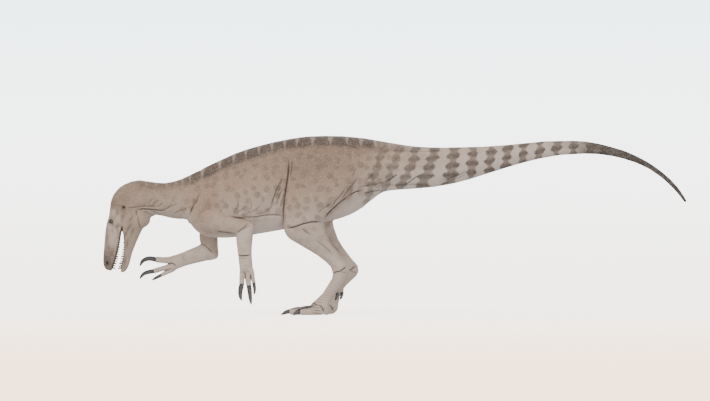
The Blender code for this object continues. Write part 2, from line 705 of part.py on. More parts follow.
def build_head():
    """Skull and jaws as one form, cut apart by the open mouth, with lips, lids, teeth, ears and nostrils."""
    first = spine_rows(NECK[:1])
    stations = [*spine_rows(NECK[1:2]), *first, *spine_rows(HEAD)]
    rows = smooth_rows(stations, 2)[2:]
    whole = add_node("head", loft(rows, HEAD_SIDES, HEAD_FULLNESS, 0.0, GAP), SKIN)
    mouth = helper(loft(mouth_rows(MOUTH_HEIGHTS, MOUTH_SHARE_OF_WIDTH, 0.0), 12, 0.8))
    apply_boolean(whole, [helper(mouth_gap()), mouth], "DIFFERENCE")
    jaw = whole.copy()
    jaw.data = whole.data.copy()
    jaw.name = "lower_jaw"
    bpy.context.scene.collection.objects.link(jaw)

    def forward(faces):
        return -sum(face.calc_center_median().x for face in faces) / len(faces)

    keep_one(whole, forward)
    keep_one(jaw, lambda faces: -forward(faces) if len(faces) > 20 else -100.0)

    sides = (-1, 1)
    extras = [lip(UPPER_MARGIN, side) for side in sides] + teeth(UPPER_MARGIN, 1, UPPER_TEETH)
    extras += [lids(side) for side in sides] + [brow(side) for side in sides]
    apply_boolean(whole, extras, "UNION")
    x, z, out = EYE
    room = EYE_RADIUS + GAP
    cuts = [helper(ellipsoid((x, side * out, z), (room, room, room), 8, 12)) for side in sides]
    cuts += [side_feature(NOSTRIL, NOSTRIL_SIZE, side) for side in sides]
    cuts += [side_feature(EAR, EAR_SIZE, side) for side in sides]
    apply_boolean(whole, cuts, "DIFFERENCE")
    keep_one(whole, size_of)

    apply_boolean(jaw, [lip(LOWER_MARGIN, side) for side in sides] + teeth(LOWER_MARGIN, -1, LOWER_TEETH), "UNION")
    keep_one(jaw, size_of)

    for side, name in ((-1, "eye_left"), (1, "eye_right")):
        radii = (EYE_RADIUS, EYE_RADIUS, EYE_RADIUS)
        shade(add_node(name, ellipsoid((x, side * out, z), radii, 8, 12), EYE_GLOSS))

    build_tongue()
    shade(whole)
    shade(jaw)


def build_tongue():
    """The tongue lies on the floor of the lower jaw's hollow, a little below the lips."""
    rows = mouth_rows(TONGUE_HEIGHTS, TONGUE_SHARE_OF_WIDTH, 2 * GAP)
    tongue = add_node("tongue", loft(rows, 12, 0.8), TONGUE_FLESH)
    above = [(x + TONGUE_BELOW_LIP, z) for x, z in (MOUTH_CORNER, *LOWER_MARGIN)]
    far = [(-3.2, 0.400), (-3.2, 0.950), (above[0][0], 0.950)]
    apply_boolean(tongue, [helper(prism([*above, *far], 0.2))], "DIFFERENCE")
    keep_one(tongue, size_of)
    shade(tongue)


def moved_back(rows, back):
    return [(a + back, b, c + back, *rest) for a, b, c, *rest in rows]


def signed(rows, side, back=0.0):
    """The rows of a limb on its side of the body, moved back along x."""
    return [(a, b, c, d, side * y, *rest) for a, b, c, d, y, *rest in moved_back(rows, back)]


def clear_of_torso(limb, torso_rows):
    """Cuts from a limb what lies inside the torso, and keeps the gap to it."""
    body = helper(loft(torso_rows, BODY_SIDES, TRUNK_FULLNESS, GAP))
    apply_boolean(limb, [body], "DIFFERENCE")
    keep_one(limb, size_of)


def build_arm(side_name, side, stations, fingers, claws, torso_rows):
    """Upper arm, forearm, hand and three clawed fingers."""
    steps = 2
    rows = smooth_rows(signed(stations, side), steps)
    elbow, wrist = ELBOW * steps, WRIST * steps
    upper = add_node(f"upper_arm_{side_name}", loft(rows[:elbow + 1], ARM_SIDES, 0.9, 0.0, 0.0, GAP), SKIN)
    clear_of_torso(upper, torso_rows)
    shade(upper)
    lower = loft(rows[elbow:wrist + 1], ARM_SIDES, 0.9, 0.0, GAP, GAP)
    shade(add_node(f"forearm_{side_name}", lower, SKIN))
    hand = add_node(f"hand_{side_name}", loft(rows[wrist:], ARM_SIDES, 0.9, 0.0, GAP), SKIN)
    y = rows[-1][4]
    # The first finger lies nearest the body and the third farthest from it
    spreads = {"first": -0.014, "second": 0.0, "third": 0.012}
    pieces = []
    for digit in fingers:
        place = y + side * spreads[digit]
        finger_rows, claw_rows = digit_and_claw(fingers[digit], claws[digit], place)
        pieces.append(helper(loft(finger_rows, DIGIT_SIDES, 0.9, 0.0, 0.0, GAP)))
        claw = loft(claw_rows, CLAW_SIDES, 1.0, 0.0, GAP)
        shade(add_node(f"claw_hand_{side_name}_{digit}", claw, CLAW_HORN))
    apply_boolean(hand, pieces, "UNION")
    keep_one(hand, size_of)
    shade(hand)


def toe_rows(length):
    """A toe that points along -X from the origin: pads below, a low arch on top."""
    return [(-share * length, top, -share * length, -press, 0.0, half, 0.42)
            for share, top, press, half in TOE_PROFILE]


def toe_claw_rows(length, centre, half_height, half_width):
    """A low claw that points along -X from the origin and comes down to the floor."""
    rows = []
    count = 5
    tapers = claw_taper(count)
    for k in range(count + 1):
        share = k / count
        thin = tapers[k]
        z = centre + (TOE_CLAW_TIP_HEIGHT - centre) * share ** 1.6
        x = -length * share
        rows.append((x, z + half_height * thin, x, z - half_height * thin * 0.80, 0.0, half_width * thin, 0.45))
    return rows


def build_foot(side_name, side, leg_rows, back):
    """The ball of the foot and three toes, flat where they press on the floor, with three claws."""
    ball = [leg_rows[-1], *signed(RIGHT_BALL if back else BALL, side, back)]
    foot = add_node(f"foot_{side_name}", loft(ball, LEG_SIDES, 0.9, 0.0, GAP), PALE_SKIN)
    leg_y = LEG[-1][4]
    pieces = []
    for toe, (x, out, turn, length) in TOES.items():
        spin = Matrix.Rotation(math.radians(-turn * side), 4, "Z")
        place = Matrix.Translation((x + back, side * (leg_y + out), 0.0)) @ spin
        made = loft(toe_rows(length), TOE_SIDES, 0.85)
        bmesh.ops.transform(made, matrix=place, verts=made.verts)
        pieces.append(helper(made))
        tip = place @ Matrix.Translation((-length, 0.0, 0.0))
        claw = loft(toe_claw_rows(*TOE_CLAWS[toe]), CLAW_SIDES, 1.0, 0.0, 2 * GAP)
        bmesh.ops.transform(claw, matrix=tip, verts=claw.verts)
        shade(add_node(f"claw_foot_{side_name}_{toe}", claw, CLAW_HORN))
    apply_boolean(foot, pieces, "UNION")
    floor = prism(((-1.6, -0.3), (-0.2, -0.3), (-0.2, 0.0), (-1.6, 0.0)), 0.6)
    apply_boolean(foot, [helper(floor)], "DIFFERENCE")
    keep_one(foot, size_of)
    shade(foot)


def build_leg(side_name, side, back, torso_rows):
    """Thigh, shin, shank of the foot with its small first toe, and the foot."""
    rows = signed(LEG, side, back)
    if back:
        shank = [(a, b, c - slim, *rest) for (a, b, c, *rest), slim in zip(rows[ANKLE:], RIGHT_SHANK_SLIM)]
        rows[ANKLE:] = shank
    thigh_rows = smooth_rows(rows[:KNEE + 2], 2)[:KNEE * 2 + 1]
    thigh = add_node(f"thigh_{side_name}", loft(thigh_rows, THIGH_SIDES, 0.9, 0.0, 0.0, GAP), SKIN)
    clear_of_torso(thigh, torso_rows)
    shade(thigh)
    shade(add_node(f"shin_{side_name}", loft(rows[KNEE:ANKLE + 1], LEG_SIDES, 0.9, 0.0, GAP, GAP), SKIN))
    shank_rows = rows[ANKLE:TOE_ROOT + 1]
    shank = add_node(f"shank_{side_name}", loft(shank_rows, LEG_SIDES, 0.9, 0.0, GAP, GAP), PALE_SKIN)
    first_rows, claw_rows = digit_and_claw(FIRST_TOE, FIRST_TOE_CLAW, side * FIRST_TOE_Y)
    toe_back = RIGHT_FIRST_TOE_BACK if back else 0.0
    toe = helper(loft(moved_back(first_rows, toe_back), DIGIT_SIDES, 0.9, 0.0, 0.0, GAP))
    apply_boolean(shank, [toe], "UNION")
    keep_one(shank, size_of)
    shade(shank)
    claw = loft(moved_back(claw_rows, toe_back), CLAW_SIDES, 1.0, 0.0, GAP)
    shade(add_node(f"claw_foot_{side_name}_first", claw, CLAW_HORN))
    build_foot(side_name, side, rows, back)


def main():
    clear_scene()
    trunk = build_trunk()
    for part, _ in trunk.values():
        shade(part)
    torso_rows = trunk["torso"][1]
    build_head()
    build_arm("left", -1, LEFT_ARM, LEFT_FINGERS, LEFT_HAND_CLAWS, torso_rows)
    build_arm("right", 1, RIGHT_ARM, RIGHT_FINGERS, RIGHT_HAND_CLAWS, torso_rows)
    build_leg("left", -1, 0.0, torso_rows)
    build_leg("right", 1, RIGHT_LEG_BACK, torso_rows)


main()
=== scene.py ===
# %% [markdown]
# ## A large-clawed theropod, standing
# This lesson dresses a plain solid model of a living, six-metre theropod dinosaur. The solid has the right
# size and outline, and hard edges between its parts. Here it gets one continuous scaly skin with folds and
# muscles, horn claws, teeth, eyes and a tongue. It is a single still body, so each piece rides on "root".

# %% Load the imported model
import json
import math

import bmesh
import bpy
import numpy as np
from mathutils import Matrix, Vector
from mathutils.bvhtree import BVHTree

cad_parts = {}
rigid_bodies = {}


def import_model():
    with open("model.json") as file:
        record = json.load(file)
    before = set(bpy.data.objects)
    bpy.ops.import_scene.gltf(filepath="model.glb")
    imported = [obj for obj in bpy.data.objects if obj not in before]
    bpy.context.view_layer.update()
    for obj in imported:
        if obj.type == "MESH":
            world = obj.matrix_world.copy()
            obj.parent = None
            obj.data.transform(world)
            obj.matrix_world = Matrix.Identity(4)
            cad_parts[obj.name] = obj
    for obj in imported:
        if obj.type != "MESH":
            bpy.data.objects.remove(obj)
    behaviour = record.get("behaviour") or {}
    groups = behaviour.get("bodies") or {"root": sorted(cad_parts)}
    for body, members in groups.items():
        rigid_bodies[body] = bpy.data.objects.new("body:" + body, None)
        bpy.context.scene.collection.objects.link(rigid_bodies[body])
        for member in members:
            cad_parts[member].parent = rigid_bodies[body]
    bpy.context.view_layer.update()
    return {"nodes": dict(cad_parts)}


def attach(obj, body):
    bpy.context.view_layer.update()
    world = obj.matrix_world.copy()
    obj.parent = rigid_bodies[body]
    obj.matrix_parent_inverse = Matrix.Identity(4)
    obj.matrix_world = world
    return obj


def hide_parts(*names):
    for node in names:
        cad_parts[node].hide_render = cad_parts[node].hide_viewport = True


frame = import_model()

# %% [markdown]
# ### The camera
# The animal is drawn square to its left side, with almost no perspective. A long lens far away gives that
# look and still is a real camera. The photograph covers 7.1 m of the animal's length at 10 mm for each pixel.

# %% Place the camera
PIXEL = 0.01
FRAME_WIDTH = 710 * PIXEL
CAMERA_DISTANCE = 40.0
FRAME_MIDDLE = Vector((-0.40, 0.0, 1.14))
camera_data = bpy.data.cameras.new("camera")
camera_data.sensor_width = 36.0
camera_data.lens = 36.0 * CAMERA_DISTANCE / FRAME_WIDTH
camera_data.clip_end = 400.0
camera = bpy.data.objects.new("camera", camera_data)
camera.location = FRAME_MIDDLE - Vector((0.0, CAMERA_DISTANCE, 0.0))
camera.rotation_euler = (math.radians(90.0), 0.0, 0.0)
bpy.context.scene.collection.objects.link(camera)
bpy.context.scene.camera = camera
print("lens", round(camera_data.lens, 1), "mm")

# %% [markdown]
# ### Nodes as arithmetic
# A material is a web of small nodes. Wiring each by hand hides the idea behind it, so this wrapper lets a
# socket be used like a number: a + b makes a Math node, and `node` makes any other node. Every finish below
# is written with it.

# %% Wrap sockets for shader maths


class Flow:
    """One output socket in a material. Sums, products and comparisons with it make Math nodes."""

    def __init__(self, tree, socket):
        self.tree = tree
        self.socket = socket

    def feed(self, socket, value):
        if isinstance(value, Flow):
            self.tree.links.new(value.socket, socket)
        else:
            socket.default_value = value

    def math(self, operation, first, second=0.0):
        made = self.tree.nodes.new("ShaderNodeMath")
        made.operation = operation
        self.feed(made.inputs[0], first)
        self.feed(made.inputs[1], second)
        return Flow(self.tree, made.outputs[0])

    def __add__(self, other):
        return self.math("ADD", self, other)

    def __radd__(self, other):
        return self.math("ADD", other, self)

    def __sub__(self, other):
        return self.math("SUBTRACT", self, other)

    def __rsub__(self, other):
        return self.math("SUBTRACT", other, self)

    def __mul__(self, other):
        return self.math("MULTIPLY", self, other)

    def __abs__(self):
        return self.math("ABSOLUTE", self)

    def fraction(self):
        return self.math("FRACT", self)

    def sine(self):
        return self.math("SINE", self)

    def node(self, kind, settings=(), **values):
        """Any other node. Settings are its properties, values go to its inputs by name with _ for spaces."""
        made = self.tree.nodes.new(kind)
        for name, value in dict(settings).items():
            setattr(made, name, value)
        for name, value in values.items():
            self.feed(made.inputs[name.replace("_", " ")], value)
        return made

    def out(self, made, name):
        return Flow(self.tree, made.outputs[name])

    def read(self, name, output="Fac"):
        """A number that the mesh stores for each corner."""
        return self.out(self.node("ShaderNodeAttribute", {"attribute_name": name}), output)

    def place(self):
        """The place on the object."""
        return self.out(self.node("ShaderNodeTexCoord"), "Object")

    def noise(self, where, scale, detail, roughness):
        """A cloud of values between 0 and 1."""
        made = self.node("ShaderNodeTexNoise", Vector=where, Scale=scale, Detail=detail, Roughness=roughness)
        return self.out(made, "Fac")

    def step(self, low, high):
        """0 below low, 1 above high, and smooth between. With high below low it falls."""
        made = self.tree.nodes.new("ShaderNodeMapRange")
        made.interpolation_type = "SMOOTHSTEP"
        turned = high < low
        self.feed(made.inputs["Value"], self)
        made.inputs["From Min"].default_value = min(low, high)
        made.inputs["From Max"].default_value = max(low, high)
        made.inputs["To Min"].default_value = 1.0 if turned else 0.0
        made.inputs["To Max"].default_value = 0.0 if turned else 1.0
        return Flow(self.tree, made.outputs["Result"])

    def mixed(self, below, above):
        """The colour below where this flow is 0 and the colour above where it is 1."""
        made = self.tree.nodes.new("ShaderNodeMix")
        made.data_type = "RGBA"
        made.clamp_factor = True
        self.feed(made.inputs[0], self)
        self.feed(made.inputs[6], (*below, 1.0) if isinstance(below, tuple) else below)
        self.feed(made.inputs[7], (*above, 1.0) if isinstance(above, tuple) else above)
        return Flow(self.tree, made.outputs[2])


def new_finish(name, **constants):
    """A material and its shader. Constants are set on the shader's own sockets."""
    made = bpy.data.materials.new(name)
    made.use_nodes = True
    shader = made.node_tree.nodes["Principled BSDF"]
    for socket, value in constants.items():
        shader.inputs[socket.replace("_", " ")].default_value = value
    start = Flow(made.node_tree, None)
    return made, shader, start


def relief(start, shader, height, strength, distance):
    """Lets a height bend the light on a surface."""
    bump = start.node("ShaderNodeBump", Height=height, Strength=strength, Distance=distance)
    start.feed(shader.inputs["Normal"], start.out(bump, "Normal"))


print("shader helpers ready")

# %% [markdown]
# ### From hard solids to one soft body
# The flesh of the solid model is 21 separate blocks with flat faces. Sculpting a new animal would lose the
# measured outline, so the blocks themselves are the start: each is copied, its doubled corners are merged,
# and a subdivision surface rounds it. Such a surface shrinks away from its corners, so the corners are
# first pushed out until the smooth surface runs through the places where they were.

# %% Copy and round the blocks of flesh
SIDES = ("left", "right")
TRUNK = ("neck", "torso", "tail_base", "tail_middle", "tail_end")
SKULL = ("head", "lower_jaw")
ARM_PARTS = ("upper_arm", "forearm", "hand")
LEG_PARTS = ("thigh", "shin", "shank", "foot")
ARMS = {side: tuple(f"{part}_{side}" for part in ARM_PARTS) for side in SIDES}
LEGS = {side: tuple(f"{part}_{side}" for part in LEG_PARTS) for side in SIDES}
FLESH = (*TRUNK, *SKULL, *ARMS["left"], *ARMS["right"], *LEGS["left"], *LEGS["right"])
VOXEL = 0.005
OVERLAP = 0.0022
DOUBLED_CORNER = 0.00005


def new_object(name, bm):
    """Links the shape to the scene under a name and frees the bmesh."""
    mesh = bpy.data.meshes.new(name)
    bm.to_mesh(mesh)
    bm.free()
    made = bpy.data.objects.new(name, mesh)
    bpy.context.scene.collection.objects.link(made)
    return made


def merged_copy(node):
    """A copy of a node with its doubled corners merged and its flat pairs of triangles joined."""
    bm = bmesh.new()
    bm.from_mesh(frame["nodes"][node].data)
    bmesh.ops.remove_doubles(bm, verts=bm.verts, dist=DOUBLED_CORNER)
    bmesh.ops.dissolve_limit(bm, angle_limit=math.radians(0.5), verts=bm.verts, edges=bm.edges)
    bmesh.ops.join_triangles(
        bm,
        faces=bm.faces,
        angle_face_threshold=math.radians(50.0),
        angle_shape_threshold=math.radians(70.0),
    )
    return bm


def evaluated(obj):
    """The mesh of an object with its modifiers worked out."""
    graph = bpy.context.evaluated_depsgraph_get()
    return bpy.data.meshes.new_from_object(obj.evaluated_get(graph))


def corners_of(mesh, count=None):
    """The places of a mesh's corners as an array, or of its first ones."""
    places = np.empty(len(mesh.vertices) * 3)
    mesh.vertices.foreach_get("co", places)
    return places.reshape(-1, 3)[:count]


def move_to(mesh, places):
    """Puts each corner of the mesh at its new place."""
    mesh.vertices.foreach_set("co", places.ravel())
    mesh.update()


def freeze(obj):
    """Replaces the object's mesh by its evaluated one and drops the modifiers."""
    result = evaluated(obj)
    old = obj.data
    obj.modifiers.clear()
    obj.data = result
    bpy.data.meshes.remove(old)
    return obj


def rounded_copy(node, levels, sharp_degrees=52.0, rounds=3):
    """A smooth copy of a node that still runs through the node's own corners."""
    bm = merged_copy(node)
    crease = bm.edges.layers.float.new("crease_edge")
    for edge in bm.edges:
        if len(edge.link_faces) == 2 and edge.calc_face_angle() > math.radians(sharp_degrees):
            edge[crease] = 1.0
    made = new_object(f"round_{node}", bm)
    smooth = made.modifiers.new("smooth", "SUBSURF")
    smooth.levels = smooth.render_levels = 1
    wanted = corners_of(made.data)
    for _ in range(rounds):
        trial = evaluated(made)
        miss = wanted - corners_of(trial, len(wanted))
        bpy.data.meshes.remove(trial)
        move_to(made.data, corners_of(made.data) + miss * 0.8)
    smooth.levels = smooth.render_levels = levels
    return freeze(made)


flesh = {node: rounded_copy(node, 2) for node in FLESH}
print(len(flesh), "blocks of flesh rounded,", sum(len(o.data.vertices) for o in flesh.values()), "corners")

# %% [markdown]
# ### Clear the old teeth
# The solid jaws have plain cones for teeth, fused to them. Finer teeth come later, so these go: a block in
# the shape of the open mouth, drawn a lip's thickness inside the edges of the jaws, is cut from both jaws.

# %% Cut the plain teeth from the jaws
UPPER_LIP = (
    (0.836, -2.7265), (0.820, -2.737), (0.715, -2.755), (0.575, -2.787),
    (0.465, -2.822), (0.390, -2.836),
)
LOWER_LIP = (
    (0.818, -2.717), (0.755, -2.709), (0.685, -2.706), (0.550, -2.721),
    (0.445, -2.746), (0.390, -2.753),
)


def side_view_block(outline, half_depth):
    """A flat outline of (x, z) points, extruded across the middle of the animal."""
    bm = bmesh.new()
    face = bm.faces.new([bm.verts.new((x, -half_depth, z)) for x, z in outline])
    made = bmesh.ops.extrude_face_region(bm, geom=[face])
    moved = [v for v in made["geom"] if isinstance(v, bmesh.types.BMVert)]
    bmesh.ops.translate(bm, verts=moved, vec=(0.0, 2.0 * half_depth, 0.0))
    bmesh.ops.recalc_face_normals(bm, faces=bm.faces)
    return bm


mouth_outline = [(x, z) for z, x in reversed(UPPER_LIP)] + [(x, z) for z, x in LOWER_LIP]
mouth_block = new_object("mouth_block", side_view_block(mouth_outline, 0.15))
for node in SKULL:
    cut = flesh[node].modifiers.new("teeth", "BOOLEAN")
    cut.object = mouth_block
    cut.operation = "DIFFERENCE"
    cut.solver = "EXACT"
    freeze(flesh[node])
bpy.data.objects.remove(mouth_block, do_unlink=True)
print("jaws cleared,", [len(flesh[node].data.vertices) for node in SKULL], "corners")

# %% [markdown]
# ### One skin
# Real skin runs from neck to leg without a seam. Each block is swelled by two millimetres, so that they
# overlap, all are joined, and a voxel remesh wraps one closed surface around the lot. A little smoothing
# then takes away the steps of the voxels. The soles are pressed flat again where they stand on the floor.

# %% Wrap one skin around the blocks


def joined(objects, name):
    """One object from many, and their meshes removed."""
    bm = bmesh.new()
    for obj in objects:
        bm.from_mesh(obj.data)
    for obj in objects:
        old = obj.data
        bpy.data.objects.remove(obj, do_unlink=True)
        bpy.data.meshes.remove(old)
    return new_object(name, bm)


skin = joined(list(flesh.values()), "skin")
swell = skin.modifiers.new("swell", "DISPLACE")
swell.strength = OVERLAP
swell.mid_level = 0.0
wrap = skin.modifiers.new("wrap", "REMESH")
wrap.mode = "VOXEL"
wrap.voxel_size = VOXEL
even = skin.modifiers.new("even", "SMOOTH")
even.factor = 0.5
even.iterations = 3
freeze(skin)
level_soles = corners_of(skin.data)
level_soles[:, 2] = np.maximum(level_soles[:, 2], 0.0)
move_to(skin.data, level_soles)
print("one skin,", len(skin.data.polygons), "faces")

# %% [markdown]
# ### Which part is which
# The skin has no names in it any more, but a fold of the flank must not run on over the arm in front of it.
# So every corner of the skin asks which block of the solid model is nearest, and keeps the answer.

# %% Label the skin by the nearest solid part
PART_NUMBER = {node: number for number, node in enumerate(FLESH)}


def solid_tree(nodes):
    """A search tree over the faces of some nodes, and which node each face belongs to."""
    corners, faces, owners = [], [], []
    for node in nodes:
        mesh = frame["nodes"][node].data
        first = len(corners)
        corners += [v.co.copy() for v in mesh.vertices]
        faces += [[first + i for i in polygon.vertices] for polygon in mesh.polygons]
        owners += [PART_NUMBER[node]] * len(mesh.polygons)
    return BVHTree.FromPolygons(corners, faces), owners


flesh_tree, flesh_owner = solid_tree(FLESH)


def nearest_part(places):
    """The number of the nearest solid part for each place."""
    return np.array([flesh_owner[flesh_tree.find_nearest(place)[2]] for place in places.tolist()])


def belongs(parts, nodes):
    return np.isin(parts, [PART_NUMBER[node] for node in nodes])


def photo_point(across, down):
    """The x and z, in metres, of a point of the photograph."""
    return np.array(((across - 395.0) * PIXEL, (314.5 - down) * PIXEL))


places = corners_of(skin.data)
parts = nearest_part(places)
on_head = belongs(parts, SKULL)
on_thighs = belongs(parts, ("thigh_left", "thigh_right"))
on_body = belongs(parts, TRUNK) | on_thighs | belongs(parts, ("shin_left", "shin_right"))
print("corners on head and body:", int(on_head.sum()), int(on_body.sum()))

# %% [markdown]
# ### Soften the joins
# Where an arm meets the chest, the wrapped blocks leave a sharp valley and ridges that no living animal has.
# Heavy smoothing would even them out but would also melt the limbs. So a smoothed twin is made, and the skin
# moves towards it only near the listed joins, and by a few centimetres at most.

# %% Fill the valleys at the limb roots
DEEPEST_SHAVE, HIGHEST_FILL = 0.03, 0.035
# Middle of the join, reach in metres, rounds of smoothing
JOINS = (
    ((-1.88, -0.18, 0.96), 0.19, 320),
    ((-1.88, 0.17, 0.95), 0.19, 320),
    ((-0.80, -0.20, 1.45), 0.36, 160),
    ((-0.80, 0.20, 1.45), 0.36, 160),
    ((-1.48, -0.24, 0.46), 0.07, 24),
    ((-2.19, 0.21, 0.50), 0.08, 24),
    ((-0.66, -0.16, 0.12), 0.16, 30),
    ((-0.57, 0.16, 0.12), 0.16, 30),
    ((-2.60, 0.0, 1.02), 0.20, 40),
)


def outward(mesh):
    """The direction away from the flesh at each corner."""
    directions = np.empty(len(mesh.vertices) * 3)
    mesh.vertices.foreach_get("normal", directions)
    return directions.reshape(-1, 3)


def push(mesh, heights):
    """Moves each corner along its own outward direction."""
    move_to(mesh, corners_of(mesh) + outward(mesh) * heights[:, None])


def smoothed_twin(obj, rounds):
    """Where the corners of the object would lie after so many rounds of smoothing."""
    soft = obj.modifiers.new("soft", "SMOOTH")
    soft.factor = 0.7
    soft.iterations = rounds
    twin = evaluated(obj)
    obj.modifiers.remove(soft)
    found = corners_of(twin)
    bpy.data.meshes.remove(twin)
    return found


filled = np.zeros(len(skin.data.vertices))
for rounds in sorted({join[2] for join in JOINS}):
    places = corners_of(skin.data)
    gain = ((smoothed_twin(skin, rounds) - places) * outward(skin.data)).sum(axis=1)
    reach = np.zeros(len(places))
    for middle, radius, wanted in JOINS:
        if wanted == rounds:
            away = np.linalg.norm(places - np.array(middle), axis=1) / radius
            reach = np.maximum(reach, np.clip(1.6 - 1.3 * away, 0.0, 1.0))
    gain = np.clip(gain, -DEEPEST_SHAVE, HIGHEST_FILL) * reach
    filled += gain
    push(skin.data, gain)
print("joins filled by up to", round(filled.max() * 1000, 1), "mm, shaved by", round(-filled.min() * 1000, 1))

# %% [markdown]
# ### Muscles
# Under the skin the animal is not an even tube: the thigh, calf, shoulder, jaw and tail root each swell a
# little. Every muscle is a soft oval push outwards or inwards, placed in the side view and turned along the
# muscle. The same list serves both sides of the body, as the animal is symmetrical.

# %% Push the muscles out
RIGHT_LEG_BACK = 0.09
# Place in the photograph, radii in pixels along and across, turn in degrees, height in millimetres
MUSCLES = {
    "body": (
        ((206, 203), (22, 10), -62, 9.0),
        ((222, 186), (30, 12), 28, 5.0),
        ((196, 221), (12, 10), 0, 7.0),
        ((245, 185), (34, 26), 10, 6.0),
        ((272, 205), (9, 16), -20, -9.0),
        ((286, 190), (4, 34), 2, -9.0),
        ((301, 196), (9, 30), 4, 10.0),
        ((318, 176), (16, 22), 20, 7.0),
        ((335, 186), (9, 24), -38, 8.0),
        ((322, 205), (14, 7), -40, 5.0),
        ((368, 166), (30, 8), 8, 9.0),
        ((352, 205), (22, 9), 38, -8.0),
        ((400, 158), (40, 6), 0, 5.0),
        ((340, 152), (34, 7), 8, 6.0),
        ((296, 150), (24, 7), -8, 5.0),
        ((240, 222), (30, 5), 6, -6.0),
        ((270, 224), (18, 6), -8, 6.0),
        ((150, 196), (26, 9), 6, 7.0),
        ((168, 206), (18, 4), -10, -5.0),
        ((150, 211), (14, 4), -6, 5.0),
        ((311, 238), (16, 7), 38, 7.0),
        ((297, 233), (9, 6), 40, 5.0),
        ((326, 252), (10, 4), 44, -4.0),
    ),
    "head": (
        ((131, 214), (8, 6), 60, 5.0),
        ((132, 224), (5, 7), 10, 4.0),
        ((119, 212), (6, 4), 20, -2.5),
        ((113, 213), (3, 4), 0, 3.0),
        ((119.5, 219.5), (2.6, 3.6), -20, 3.0),
        ((112.6, 232.5), (2.6, 6.0), 6, -6.0),
        ((116.6, 233), (1.8, 9.0), 4, 3.5),
        ((111.0, 246), (3.0, 7.0), 4, 2.5),
        ((129, 236), (4, 8), 24, 3.0),
        ((126, 250), (2.5, 8), 12, 2.0),
    ),
}


def soft_oval(across, up, centre, radii, degrees):
    """1 in the middle of a turned oval of the side view, falling smoothly to 0 outside it."""
    middle = photo_point(*centre)
    turn = math.radians(degrees)
    run = (across - middle[0]) * math.cos(turn) - (up - middle[1]) * math.sin(turn)
    side = (across - middle[0]) * math.sin(turn) + (up - middle[1]) * math.cos(turn)
    return np.exp(-((run / (radii[0] * PIXEL)) ** 2 + (side / (radii[1] * PIXEL)) ** 2))


def leg_shift(parts, places):
    """How much further back each corner lies than on the left side, as the right leg stands further back."""
    right_leg = belongs(parts, ("shin_right", "shank_right", "foot_right"))
    right_thigh = belongs(parts, ("thigh_right",))
    low = np.clip((1.55 - places[:, 2]) / 0.5, 0.0, 1.0)
    return np.where(right_leg, RIGHT_LEG_BACK, np.where(right_thigh, RIGHT_LEG_BACK * low, 0.0))


shift = leg_shift(parts, places)
along, upright = places[:, 0] - shift, places[:, 2]
sideways = np.abs(outward(skin.data)[:, 1])
swelling = np.zeros(len(places))
for part, member in (("body", on_body), ("head", on_head)):
    for centre, radii, degrees, height in MUSCLES[part]:
        swelling += member * soft_oval(along, upright, centre, radii, degrees) * height * 0.001
push(skin.data, swelling * np.clip(sideways * 1.6, 0.0, 1.0))
print("muscles from", round(swelling.min() * 1000, 1), "to", round(swelling.max() * 1000, 1), "mm")
